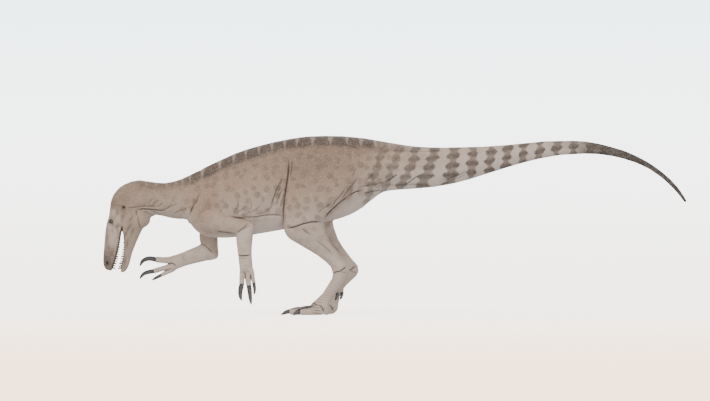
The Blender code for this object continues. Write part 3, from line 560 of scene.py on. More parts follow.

# %% [markdown]
# ### Folds of the skin
# Loose skin creases where the body bends: behind the jaw, in front of the shoulder, round the hip and at
# each joint. Each fold is a line of the photograph. The skin sinks along it and swells beside it, most in
# the middle of the line and not at its ends. The same lines later paint shade into the skin's colour along
# each crease.

# %% Press the folds in
# Depth in millimetres, width in pixels, and the points of the line in the photograph
FOLDS = {
    "body": (
        (3.0, 0.5, ((205, 176), (212, 173), (218, 170.5))),
        (3.0, 0.5, ((222, 168.3), (226, 166.6))),
        (3.5, 0.5, ((246, 159.3), (253, 157.2), (261, 155))),
        (3.5, 0.55, ((340, 143.3), (346, 145.2), (352, 147), (359, 148))),
        (3.0, 0.5, ((346, 145.2), (353, 147.2), (360, 149.6))),
        (3.0, 0.5, ((390, 150.5), (400, 151), (416, 151.5), (446, 151.3))),
        (5.0, 0.6, ((201, 192), (197.5, 200), (192.5, 209), (190, 216))),
        (4.0, 0.5, ((195, 199), (193.5, 206), (190.5, 213))),
        (9.0, 0.75, ((214, 213), (219, 214.8), (226, 216.4), (235, 217.6), (245, 218.8))),
        (6.0, 0.55, ((243, 217.2), (250, 217.2), (257, 216.8), (264, 215.4), (275, 214.6), (283, 216))),
        (4.0, 0.5, ((219, 214.5), (221.5, 211.5), (222, 208.5))),
        (4.0, 0.5, ((233.5, 216), (236.5, 210), (238.5, 205), (239, 200))),
        (3.5, 0.5, ((236.5, 215.5), (240, 211), (247, 206.5))),
        (3.5, 0.5, ((247, 215), (251.5, 208), (252.5, 202))),
        (3.5, 0.5, ((249, 214), (256, 210), (262, 204.5))),
        (3.5, 0.5, ((258, 214.5), (265, 212.5), (271, 207))),
        (6.0, 0.6, ((271, 207), (274, 198), (277, 190), (280.5, 183), (283.5, 178))),
        (4.0, 0.5, ((276, 206), (279, 198.5), (281.5, 192), (284, 187))),
        (4.0, 0.5, ((267, 212), (271.5, 207.5), (275, 201.5))),
        (11.0, 0.75, ((289, 158.5), (289, 170), (287.5, 182), (285.5, 194), (283.8, 210), (284.3, 229))),
        (5.0, 0.5, ((292, 161), (292.5, 168), (290.8, 176))),
        (5.0, 0.5, ((285, 193), (282.5, 201), (281, 208))),
        (4.0, 0.5, ((281.5, 176.5), (281.5, 183), (279.5, 190), (277, 196))),
        (9.0, 0.7, ((349, 195.5), (341, 201.5), (333, 208.5), (327.5, 214), (324.2, 219.5))),
        (5.0, 0.5, ((359, 177), (353, 184), (346.5, 192.5), (341, 200))),
        (5.0, 0.5, ((346, 187.5), (342.5, 193.5), (336, 200.5), (331, 207.5))),
        (7.0, 0.6, ((361, 190.8), (355, 192), (349.5, 195.3))),
        (6.0, 0.55, ((382, 190), (374, 191), (364, 193.4))),
        (4.0, 0.5, ((374.5, 173.5), (369.5, 178), (364, 181.5))),
        (4.0, 0.5, ((386, 181), (376, 184.2), (366, 186), (358, 187))),
        (6.0, 0.6, ((397.5, 174), (392, 178.3), (386.5, 181.4))),
        (6.0, 0.6, ((421, 174.5), (414, 178.5), (409, 182.3), (402.5, 185.3))),
        (4.0, 0.5, ((388, 185.4), (400, 185), (412, 184.4), (421, 184.2))),
        (4.0, 0.5, ((439, 182), (450, 178), (461, 174), (471, 169.8))),
        (3.5, 0.5, ((441, 180.3), (452, 179.6), (466, 174.6))),
        (4.0, 0.5, ((355.5, 168), (354.5, 172), (353, 176.5))),
        (4.0, 0.5, ((331.5, 203.5), (324, 208), (318, 213))),
        (9.0, 0.8, ((285.5, 226), (289.5, 228), (296, 226.4), (304, 223.6), (312, 221.8), (322.5, 221.6))),
        (5.0, 0.6, ((287, 224.5), (290.5, 226.5), (295, 228.5))),
        (5.0, 0.6, ((302, 228.5), (306, 231), (310.5, 234.5))),
        (4.0, 0.5, ((316, 240), (322, 244), (327, 248.5), (333, 254))),
    ),
    "leg": (
        (7.0, 0.6, ((332.8, 273.4), (336, 271.6), (340, 271), (343.8, 268.4), (346.5, 266.2))),
        (4.0, 0.5, ((341, 271.5), (344.5, 272.2), (347, 273))),
        (4.0, 0.5, ((343.5, 266), (346, 268.5))),
        (7.0, 0.55, ((319.3, 304.6), (322.5, 307.2), (324.4, 311.5))),
        (4.0, 0.5, ((321.5, 310), (323.3, 308.8), (325.6, 307.2))),
        (8.0, 0.65, ((314.5, 304.6), (309, 306.3), (303, 307.6), (299, 309))),
        (6.0, 0.6, ((313, 302.5), (315.5, 303.2), (317.5, 305))),
    ),
    "neck": (
        (5.0, 0.55, ((127, 207.8), (134, 207.4), (140, 206.6), (145, 206), (151, 206.2), (158, 206.4))),
        (7.0, 0.65, ((137, 210), (143, 208.9), (150, 209.3), (158, 210.2), (167, 210.3))),
        (4.0, 0.5, ((143.5, 207), (144.8, 205), (146.5, 203.4))),
        (4.0, 0.5, ((148.8, 204.5), (150, 202), (152.5, 199))),
        (4.0, 0.5, ((151.5, 207.5), (155, 203.5), (159.5, 200))),
        (3.5, 0.5, ((157, 207.4), (161, 205), (164, 202.6))),
        (4.0, 0.5, ((163, 210), (167, 208.6), (170, 206.3), (172.5, 203))),
        (4.0, 0.5, ((167.5, 208.5), (172, 206.5), (177, 203.8))),
        (4.0, 0.5, ((174.5, 213.5), (178, 211.5), (183, 208.8))),
        (3.5, 0.5, ((179.5, 212), (184, 210), (188, 207.6))),
        (4.0, 0.5, ((145.5, 211), (149, 213.4), (153, 214.5))),
        (3.5, 0.5, ((150, 210), (153.5, 211.6), (158, 212.6))),
    ),
    "head": (
        (3.0, 0.45, ((115.9, 205.9), (119.5, 205.4), (123, 206.6), (127, 207.8))),
        (5.0, 0.55, ((136.9, 210), (137, 214), (136.6, 216))),
        (4.5, 0.55, ((138.6, 215), (138.6, 219.5), (139.8, 225), (141.3, 229.5))),
        (3.0, 0.45, ((128.4, 213.4), (128.2, 214.6))),
        (9.0, 0.85, ((122.9, 225.8), (122.6, 229), (121.9, 231.5), (121.4, 233.6))),
        (3.0, 0.5, ((117.5, 223.5), (117.6, 228), (118.6, 233), (118.2, 240))),
        (2.5, 0.45, ((109.4, 224.8), (112.2, 225.6), (115.0, 224.6))),
        (2.0, 0.4, ((109.6, 218.6), (112.4, 217.8), (115.4, 219.2))),
        (2.5, 0.5, ((110.4, 229.5), (113, 230.6), (113.6, 234.5))),
        (2.5, 0.5, ((125.5, 236), (127.5, 231), (130.5, 226.5))),
    ),
    "arm_left": (
        (6.0, 0.7, ((217.5, 231), (224, 232), (231, 232.8), (237, 234.4))),
        (5.0, 0.55, ((237.5, 233), (241, 230), (245, 227.4), (248.5, 223))),
        (3.0, 0.5, ((244, 229.5), (247.5, 227), (251, 225.4))),
        (8.0, 0.65, ((238.6, 254.6), (242, 255.5), (247, 255.4), (250.5, 254.9))),
        (2.5, 0.45, ((240, 257.8), (244, 258.3), (248, 257.9))),
        (2.0, 0.45, ((245, 265.6), (248.5, 265.2), (251.5, 265.8))),
        (2.0, 0.45, ((241.5, 268.6), (245, 268.9), (249.5, 268.4))),
        (2.0, 0.45, ((242.5, 271), (246.5, 270.7), (251, 271))),
        (2.0, 0.45, ((241, 276.8), (243.5, 277.2))),
        (7.0, 0.6, ((245.4, 271), (245.9, 275), (246.5, 279.5), (246.7, 282))),
        (7.0, 0.65, ((251.3, 273), (251.5, 278), (252.1, 284))),
    ),
    "arm_right": (
        (4.0, 0.55, ((200, 244), (204.5, 245.8), (208, 248.8), (212, 253))),
        (2.5, 0.45, ((207, 250), (211, 250.6))),
        (3.5, 0.5, ((181.5, 254.5), (182.2, 258), (184.6, 262))),
        (2.5, 0.45, ((183.8, 253.5), (184.6, 257.5), (187, 261))),
        (6.0, 0.6, ((161, 264), (167, 264.2), (172, 263.6), (174.6, 265.6), (175.6, 267.4))),
        (5.0, 0.55, ((157.5, 272.4), (161.5, 271.4), (166, 270.4), (169, 269.6))),
        (2.5, 0.45, ((170, 262), (170.6, 265))),
    ),
}
REACH_OF_FOLD = 6
FULLY_DARK_DEPTH = 7.0


def line_reach(across, up, points, width):
    """How strong a line of the side view is beside each corner, and how many widths away the line is."""
    lengths = [float(np.linalg.norm(b - a)) for a, b in zip(points, points[1:])]
    total = sum(lengths)
    nearest = np.full(len(across), 1e3)
    share = np.zeros(len(across))
    done = 0.0
    for start, end, length in zip(points, points[1:], lengths):
        way = (end - start) / length
        run = np.clip((across - start[0]) * way[0] + (up - start[1]) * way[1], 0.0, length)
        gap = np.hypot(across - start[0] - way[0] * run, up - start[1] - way[1] * run)
        closer = gap < nearest
        nearest = np.where(closer, gap, nearest)
        share = np.where(closer, (done + run) / total, share)
        done += length
    strength = np.clip(np.minimum(share, 1.0 - share) * 5.0 + 0.15, 0.0, 1.0)
    return strength, nearest / (width * PIXEL)


def fold_member(part, parts):
    """Which corners a fold may touch."""
    if part == "head":
        return belongs(parts, (*SKULL, "neck"))
    if part == "neck":
        return belongs(parts, (*SKULL, "neck", "torso"))
    if part.startswith("arm_"):
        return belongs(parts, ARMS[part[4:]])
    if part == "leg":
        return belongs(parts, (*LEGS["left"], *LEGS["right"]))
    trunk_and_legs = (*TRUNK, "thigh_left", "thigh_right", "shin_left", "shin_right")
    return belongs(parts, trunk_and_legs)


def fold_fields(parts, places, directions):
    """How far the folds move each corner, and how much shade they paint on it."""
    across, up = places[:, 0] - leg_shift(parts, places), places[:, 2]
    lateral = np.clip(np.abs(directions[:, 1]) * 2.0 - 0.15, 0.0, 1.0)
    moved = np.zeros(len(places))
    dark = np.zeros(len(places))
    for part, folds in FOLDS.items():
        members = np.flatnonzero(fold_member(part, parts))
        for depth, width, line in folds:
            points = [photo_point(*point) for point in line]
            margin = REACH_OF_FOLD * width * PIXEL
            low, high = np.min(points, axis=0) - margin, np.max(points, axis=0) + margin
            beside = (across[members] > low[0]) & (across[members] < high[0])
            level = (up[members] > low[1]) & (up[members] < high[1])
            near = members[beside & level]
            strength, gap = line_reach(across[near], up[near], points, width)
            groove = -np.exp(-gap ** 2) + 0.45 * np.exp(-((gap - 2.3) / 1.1) ** 2)
            moved[near] += groove * strength * lateral[near] * depth * 0.001
            shadow = np.exp(-(gap * 1.15) ** 2) * strength * lateral[near]
            shadow *= min(1.0, depth / FULLY_DARK_DEPTH)
            dark[near] = np.maximum(dark[near], shadow)
    return moved, dark


moved, _ = fold_fields(parts, corners_of(skin.data), outward(skin.data))
push(skin.data, moved)
print(sum(map(len, FOLDS.values())), "folds, the deepest", round(-moved.min() * 1000, 1), "mm")

# %% [markdown]
# ### Thin the skin
# The wrapped skin has a million triangles, most of them on the even flanks. A decimation keeps the small
# triangles where the surface bends and where they are protected: head, hands, feet and folds. The rest is
# thinned, so the finished skin stays below 200,000 triangles and its outline doesn't change.

# %% Thin the skin but keep its fine places
SKIN_TRIANGLES = 192000
places = corners_of(skin.data)
_, dark = fold_fields(parts, places, outward(skin.data))
thinning = np.full(len(places), 1.0)
# How freely each part may be thinned
for nodes, freedom in (
    ((*ARMS["left"], *ARMS["right"], "foot_left", "foot_right"), 0.6),
    (("hand_left", "hand_right"), 0.35),
    (SKULL, 0.4),
):
    thinning[belongs(parts, nodes)] = freedom
thinning = np.minimum(thinning, 1.0 - 0.8 * np.clip(dark * 2.5, 0.0, 1.0))
group = skin.vertex_groups.new(name="thinning")
for level in np.unique(np.round(thinning, 1)):
    group.add(np.flatnonzero(np.round(thinning, 1) == level).tolist(), float(level), "REPLACE")
thin = skin.modifiers.new("thin", "DECIMATE")
thin.ratio = min(1.0, SKIN_TRIANGLES / (2.0 * len(skin.data.polygons)))
thin.vertex_group = "thinning"
thin.vertex_group_factor = 1.0
freeze(skin)
skin.vertex_groups.clear()
skin.data.shade_smooth()
print("thinned to", len(skin.data.polygons), "triangles")

# %% [markdown]
# ### Maps for the colours
# The markings follow the body, not space: bars cross the back, rings climb the tail, the belly is pale. Each
# corner of the skin therefore gets a few plain numbers, such as how deep it lies below the line of the back.
# The finish reads them as attributes. Numbers that run evenly, such as the count of bars from the neck to
# the tail, stay sharp between corners, where a painted mask would blur.

# %% Measure each corner's place on the body
# Lines of the back and of the belly in the side view, as x and z in metres
BACK_LINE = (
    (-2.85, 1.10), (-2.82, 1.19), (-2.76, 1.26), (-2.67, 1.315), (-2.57, 1.34), (-2.45, 1.33), (-2.32, 1.31),
    (-2.18, 1.34), (-2.03, 1.40), (-1.83, 1.50), (-1.55, 1.63), (-1.35, 1.69), (-1.13, 1.74), (-0.91, 1.775),
    (-0.69, 1.785), (-0.49, 1.78), (-0.31, 1.76), (-0.05, 1.72), (0.17, 1.68), (0.43, 1.67), (0.91, 1.68),
    (1.43, 1.725), (1.67, 1.735), (1.89, 1.73), (2.11, 1.69),
    (2.33, 1.62), (2.53, 1.52), (2.70, 1.40), (2.92, 1.13),
)
BELLY_LINE = (
    (-2.85, 0.95), (-2.44, 0.98), (-2.25, 0.97), (-2.08, 0.95), (-1.92, 0.80), (-1.77, 0.77), (-1.57, 0.78),
    (-1.35, 0.81), (-1.13, 0.85), (-0.91, 0.89), (-0.67, 0.93), (-0.45, 1.0), (-0.29, 1.10), (-0.05, 1.24),
    (0.17, 1.26), (0.43, 1.28), (0.93, 1.41), (1.45, 1.56), (1.89, 1.61), (2.10, 1.60), (2.30, 1.555),
    (2.50, 1.48), (2.67, 1.37), (2.92, 1.10),
)
# Where pale notches part the bars of the back, and the middles of the tail's rings, as pixels across
NOTCHES = (138, 145.5, 156.5, 167, 176.7, 182.8, 189, 202.5, 220.5, 234.3, 246, 259.5, 272, 285.5, 297, 312,
           331, 348.5, 359.5, 376, 391, 408, 425)
RINGS = (355, 370, 386, 401.5, 416, 435, 455, 474, 491, 508, 524, 540, 557, 574, 591, 606, 622)


def value_along(line, across):
    """The second number of a line's points, where the first is the given one."""
    return np.interp(across, *zip(*line))


def count_along(middles, across):
    """A count that is whole at each of the given pixels and runs evenly between them."""
    marks = [(pixel - 395.0) * PIXEL for pixel in middles]
    return np.interp(across, marks, np.arange(len(marks), dtype=float))


def add_map(obj, name, values):
    """Stores one number for each corner under a name that a finish can read."""
    layer = obj.data.attributes.new(name, "FLOAT", "POINT")
    layer.data.foreach_set("value", np.asarray(values, dtype=np.float32))


def neighbours(mesh):
    pairs = np.empty(len(mesh.edges) * 2, dtype=np.int64)
    mesh.edges.foreach_get("vertices", pairs)
    return pairs.reshape(-1, 2)


def spread(values, pairs, rounds):
    """The values evened out with those of the neighbouring corners."""
    count = len(values)
    degree = np.bincount(pairs.ravel(), minlength=count)
    for _ in range(rounds):
        total = np.bincount(pairs[:, 0], values[pairs[:, 1]], count)
        total += np.bincount(pairs[:, 1], values[pairs[:, 0]], count)
        values = 0.5 * values + 0.5 * total / np.maximum(degree, 1)
    return values


places = corners_of(skin.data)
directions = outward(skin.data)
parts = nearest_part(places)
pairs = neighbours(skin.data)
across, lateral, upright = places.T
along = across - leg_shift(parts, places)
back = value_along(BACK_LINE, across)
belly = value_along(BELLY_LINE, across)
depth = back - upright
share = np.clip((upright - belly) / np.maximum(back - belly, 0.02), -0.5, 1.2)
on = {node: belongs(parts, (node,)) for node in FLESH}
on_trunk = belongs(parts, TRUNK)
on_skull = belongs(parts, SKULL)
on_thigh, on_shin, on_shank, on_foot = (on[f"{part}_left"] | on[f"{part}_right"] for part in LEG_PARTS)
on_upper_arm, on_forearm, on_hand = (on[f"{part}_left"] | on[f"{part}_right"] for part in ARM_PARTS)
print("depth below the back up to", round(float(depth[on_trunk].max()), 2), "m")

# %% [markdown]
# ### From dark back to pale belly
# One number, the tone, runs from 0 on the dark back over the middle brown of the flanks to 1 on the pale
# grey-pink of belly and feet. It is judged for each part and evened out over the joins.

# %% Map the tone and the special places
on_neck = on["neck"]
tone = np.interp(share, (-0.1, 0.10, 0.22, 0.45, 0.68, 0.88), (1.0, 1.0, 0.72, 0.54, 0.34, 0.12))
tone[on_neck] = np.interp(share[on_neck], (0.0, 0.25, 0.6, 1.0), (0.72, 0.58, 0.38, 0.20))
tone[on_thigh] = np.interp(upright[on_thigh], (0.85, 0.98, 1.25, 1.50, 1.7), (0.78, 0.70, 0.46, 0.16, 0.06))
tone[on_shin] = np.interp(upright[on_shin], (0.45, 0.75, 0.95), (0.80, 0.68, 0.70))
for member, even_tone in (
    (on_shank, 0.74), (on_foot, 0.78), (on_upper_arm, 0.56), (on_forearm, 0.82), (on_hand, 0.82),
):
    tone[member] = even_tone
for node, heights, tones in (
    ("head", (0.40, 0.52, 0.70, 0.80, 0.92, 1.05), (0.2, 0.30, 0.62, 0.66, 0.48, 0.34)),
    ("lower_jaw", (0.40, 0.60, 0.95), (0.58, 0.54, 0.52)),
):
    tone[on[node]] = np.interp(upright[on[node]], heights, tones)
tail = np.clip((across + 0.15) / 0.45, 0.0, 1.0) * on_trunk
tone = tone + (np.interp(share, (0.0, 0.5, 1.0), (1.0, 0.92, 0.68)) - tone) * tail
rump_below = soft_oval(across, upright, (352, 210), (26, 9), 38) * np.clip(1.2 - share * 1.6, 0.0, 1.0)
tone = np.maximum(tone, np.clip(rump_below * 1.5, 0.0, 1.0) * (on_trunk & (across > -0.75)))
tone = spread(tone, pairs, 14)


def patches(member, ovals):
    """Soft ovals of the side view, given as middle, radii and turn, laid over one another."""
    total = np.zeros(len(places))
    for centre, radii, degrees in ovals:
        total = np.maximum(total, soft_oval(along, upright, centre, radii, degrees))
    return total * member


body_member = on_trunk | on_thigh | on_upper_arm
warm_front = (((205, 200), (16, 24), 20), ((277, 167), (14, 13), 0), ((230, 178), (26, 8), 25))
warm_hip = (((318, 162), (34, 20), 0), ((292, 190), (7, 26), 0))
warm = np.maximum(patches(body_member, warm_front), 0.7 * patches(body_member, warm_hip))
dusk_hip = (((308, 165), (26, 26), 0), ((330, 158), (22, 14), 12))
dusk_neck = (((124, 198), (16, 12), -30), ((150, 186), (30, 7), 0))
dusk = np.maximum(patches(body_member, dusk_hip), 0.8 * patches(on_skull | on_neck, dusk_neck))
smudges = (
    ((129.5, 227), (2.2, 5.5), 30), ((133, 231), (1.6, 4), 20), ((126, 234), (1.5, 3.2), 30),
    ((123.5, 216), (2.0, 5.5), 22), ((117.5, 226), (3.2, 2), -20), ((124.5, 210), (3.5, 2), 0),
    ((114, 204), (3, 5), 12), ((127.5, 244), (1.4, 5), 10),
    ((125, 262), (1.3, 6), 8), ((107.5, 238), (1.2, 9), 2),
    ((131.5, 219), (1.4, 4), 30), ((112.5, 252), (2, 4), 10),
    ((109, 247), (1.4, 2.4), 0), ((118, 212), (1.4, 3), 15),
)
smudge = patches(on_skull, smudges)
snout = patches(on_skull, (((107, 260), (9, 13), 0),)) * on["head"]
blazes = (
    ((114.5, 230), (2.4, 10), 8), ((110, 227), (3, 3), 0), ((113.5, 212.5), (3.4, 3), 0),
    ((119.5, 219), (3, 3.4), 0), ((113, 243), (2.6, 5), 0),
)
blaze = patches(on["head"], blazes)
# The painted shade along the folds, which the skin's colour reads as the crease map
_, crease = fold_fields(parts, places, directions)
print("tone from", round(float(tone.min()), 2), "to", round(float(tone.max()), 2))

# %% [markdown]
# ### Where spots, scutes and mouth lining lie
# Round blotches cover flanks and thighs, and fade out on neck, shins and belly. Broad plates, called scutes,
# cross the front of the feet in rows. Inside the jaws the skin turns into wet pink lining. Each of these
# places gets its own map, and the blotches also get a flat chart of the body to be laid out on.

# %% Store the maps on the skin
spots = np.interp(share, (0.12, 0.24, 0.80, 0.92), (0.0, 1.0, 1.0, 0.55)) * on_trunk
spots *= np.interp(across, (-2.7, -2.3, -2.05, -0.1, 0.15), (0.25, 0.40, 0.9, 1.0, 0.0))
spots[on_thigh] = np.interp(upright[on_thigh], (0.88, 1.0, 1.2), (0.5, 0.9, 1.0))
spots[on_shin] = np.interp(upright[on_shin], (0.55, 0.80, 0.9), (0.0, 0.45, 0.6))
spots[on_upper_arm] = 0.30
spots[on_forearm] = 0.22
spots[on["head"] | on["lower_jaw"]] = 0.0
spots *= 1.0 - np.clip(rump_below * 1.6, 0.0, 1.0)
spots *= 1.0 - 0.8 * soft_oval(across, upright, (270, 225), (22, 8), 0)
spots = spread(spots, pairs, 8)
girth = np.where(np.abs(directions[:, 1]) > 0.5, upright, upright + 0.35 * np.abs(lateral))
chart = np.stack((along + np.where(lateral > 0, 7.3, 0.0), girth, np.zeros(len(places))), axis=1)
chart_layer = skin.data.attributes.new("chart", "FLOAT_VECTOR", "POINT")
chart_layer.data.foreach_set("vector", chart.astype(np.float32).ravel())

# The tail's rings lean: their lower ends lie further forward
lean = np.interp(across, (-0.3, 0.0, 0.35, 0.6, 1.9), (0.20, 0.18, 0.13, 0.03, 0.01))
rings = np.where(on_trunk, count_along(RINGS, across + lean * (1.0 - share)), 0.0)
bars = count_along(NOTCHES, across + 0.02 * depth)
tail_end = np.clip((across - 1.72) / 0.25, 0.0, 1.0) * on_trunk
shank_run = -(along * 0.12 + upright)
SHANK_FRONT = (
    (0.08, -0.84), (0.13, -0.812), (0.168, -0.768), (0.218, -0.72),
    (0.29, -0.672), (0.356, -0.632), (0.405, -0.62),
)
SHANK_REAR = (
    (0.082, -0.66), (0.147, -0.637), (0.219, -0.59), (0.293, -0.54), (0.372, -0.484), (0.43, -0.454),
)
shank_front, shank_rear = value_along(SHANK_FRONT, upright), value_along(SHANK_REAR, upright)
to_rear = (along - shank_front) / (shank_rear - shank_front)
on_front = np.exp(-((to_rear - 0.34) / 0.20) ** 2)
scutes = np.where(on_shank, on_front * np.clip((0.37 - upright) / 0.08, 0.0, 1.0), 0.0)
# Tops of the toes, which get painted shade
facing_up = np.clip((directions[:, 2] - 0.05) * 2.2, 0.0, 1.0)
toe_top = facing_up * np.clip((upright - 0.050) / 0.018, 0.0, 1.0)
toe_top *= np.clip((-0.79 - along) / 0.05, 0.0, 1.0) * on_foot
scutes = np.where(on_foot & (along > -0.84), on_front, scutes)
scute_run = np.where(on_foot & (along < -0.84), -along * 0.95 + 0.1, shank_run)
HEAD_HALF = ((0.42, 0.024), (0.48, 0.040), (0.61, 0.060), (0.78, 0.080), (0.93, 0.104), (1.0, 0.112))
head_half = value_along(HEAD_HALF, upright)
lining = on_skull * np.clip((head_half * 0.80 - np.abs(lateral)) / 0.006, 0.0, 1.0)
ROOF = ((0.39, -2.836), (0.465, -2.824), (0.575, -2.789), (0.715, -2.757), (0.820, -2.739), (0.836, -2.728))
FLOOR = (
    (0.39, -2.753), (0.445, -2.746), (0.55, -2.721), (0.685, -2.706),
    (0.755, -2.709), (0.818, -2.717), (0.836, -2.726),
)
roof, floor_of_mouth = value_along(ROOF, upright), value_along(FLOOR, upright)
facing_in = np.where(on["head"], along - roof, floor_of_mouth - along)
lining *= np.clip((facing_in + 0.040) / 0.004, 0.0, 1.0) * (upright < 0.90) * (upright > 0.455)
lining *= np.where(on["head"], directions[:, 0] > -0.35, directions[:, 0] < 0.35)
# Painted shade in a band on the outside of the lips, beside the open mouth
lip_shade = on_skull * np.exp(-(np.maximum(-0.002 - facing_in, 0.0) / 0.0100) ** 2) * (upright < 0.835)
# Painted shade in the hollows: eye sockets, round the eyes, ears, nostrils and the corner of the mouth
socket = np.zeros(len(places))
for turn in (-1.0, 1.0):
    from_eye = np.linalg.norm(places - np.array((-2.826, 0.056 * turn, 0.930)), axis=1)
    socket = np.maximum(socket, np.clip((0.036 - from_eye) / 0.009, 0.0, 1.0))
ear = patches(on_skull | on_neck, (((124.3, 207.3), (1.5, 1.5), 0),))
nostril = patches(on["head"], (((107.5, 262.8), (1.4, 1.7), 0),))
round_the_eye = (((109.8, 222.4), (2.4, 1.1), 0), ((113.0, 222.6), (1.3, 2.4), 0))
socket = np.maximum(socket, 0.8 * patches(on["head"], round_the_eye))
mouth_corner = patches(on_skull, (((122.2, 230.6), (0.8, 3.4), 8),))

# The crease, lip, hollow and toe-top maps mark where shade is painted into the skin's colour
for name, values in (
    ("tone", tone), ("warm", warm), ("dusk", dusk), ("snout", snout),
    ("blaze", blaze), ("smudge", smudge), ("crease", crease), ("spots", spots),
    ("depth", np.where(on_trunk | on_thigh | (on_skull & (upright > 1.0)), depth, 0.6)),
    ("share", share), ("bars", bars), ("rings", rings),
    ("rump", np.clip(rump_below * 1.8, 0.0, 1.0)),
    ("tail_end", tail_end),
    ("scutes", spread(scutes, pairs, 3)),
    ("scute_run", scute_run),
    ("toe_top_shade", spread(toe_top, pairs, 2)),
    ("lining", spread(lining, pairs, 1)),
    ("lip_shade", lip_shade),
    ("hollow_shade", np.clip(1.7 * np.max((ear, nostril, socket * 0.6, mouth_corner), axis=0), 0.0, 1.0)),
):
    add_map(skin, name, values)
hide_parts(*FLESH)
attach(skin, "root")
print("maps on the skin:", len(skin.data.attributes))

# %% [markdown]
# ### The finish of the skin
# The skin is dull and dry, covered in pebble-like scales a centimetre across. The colour is laid down as a
# painter would: the tone from dark back to pale belly, then warm and dark patches, blotches, the bars and
# rings, the scales and scutes, painted shade on the toe tops, and last painted shade in the folds, along the
# lips and in the hollows. Cells of a Voronoi texture make the scales, and the same cells shift the colour of
# each scale a little.

# %% Paint the skin


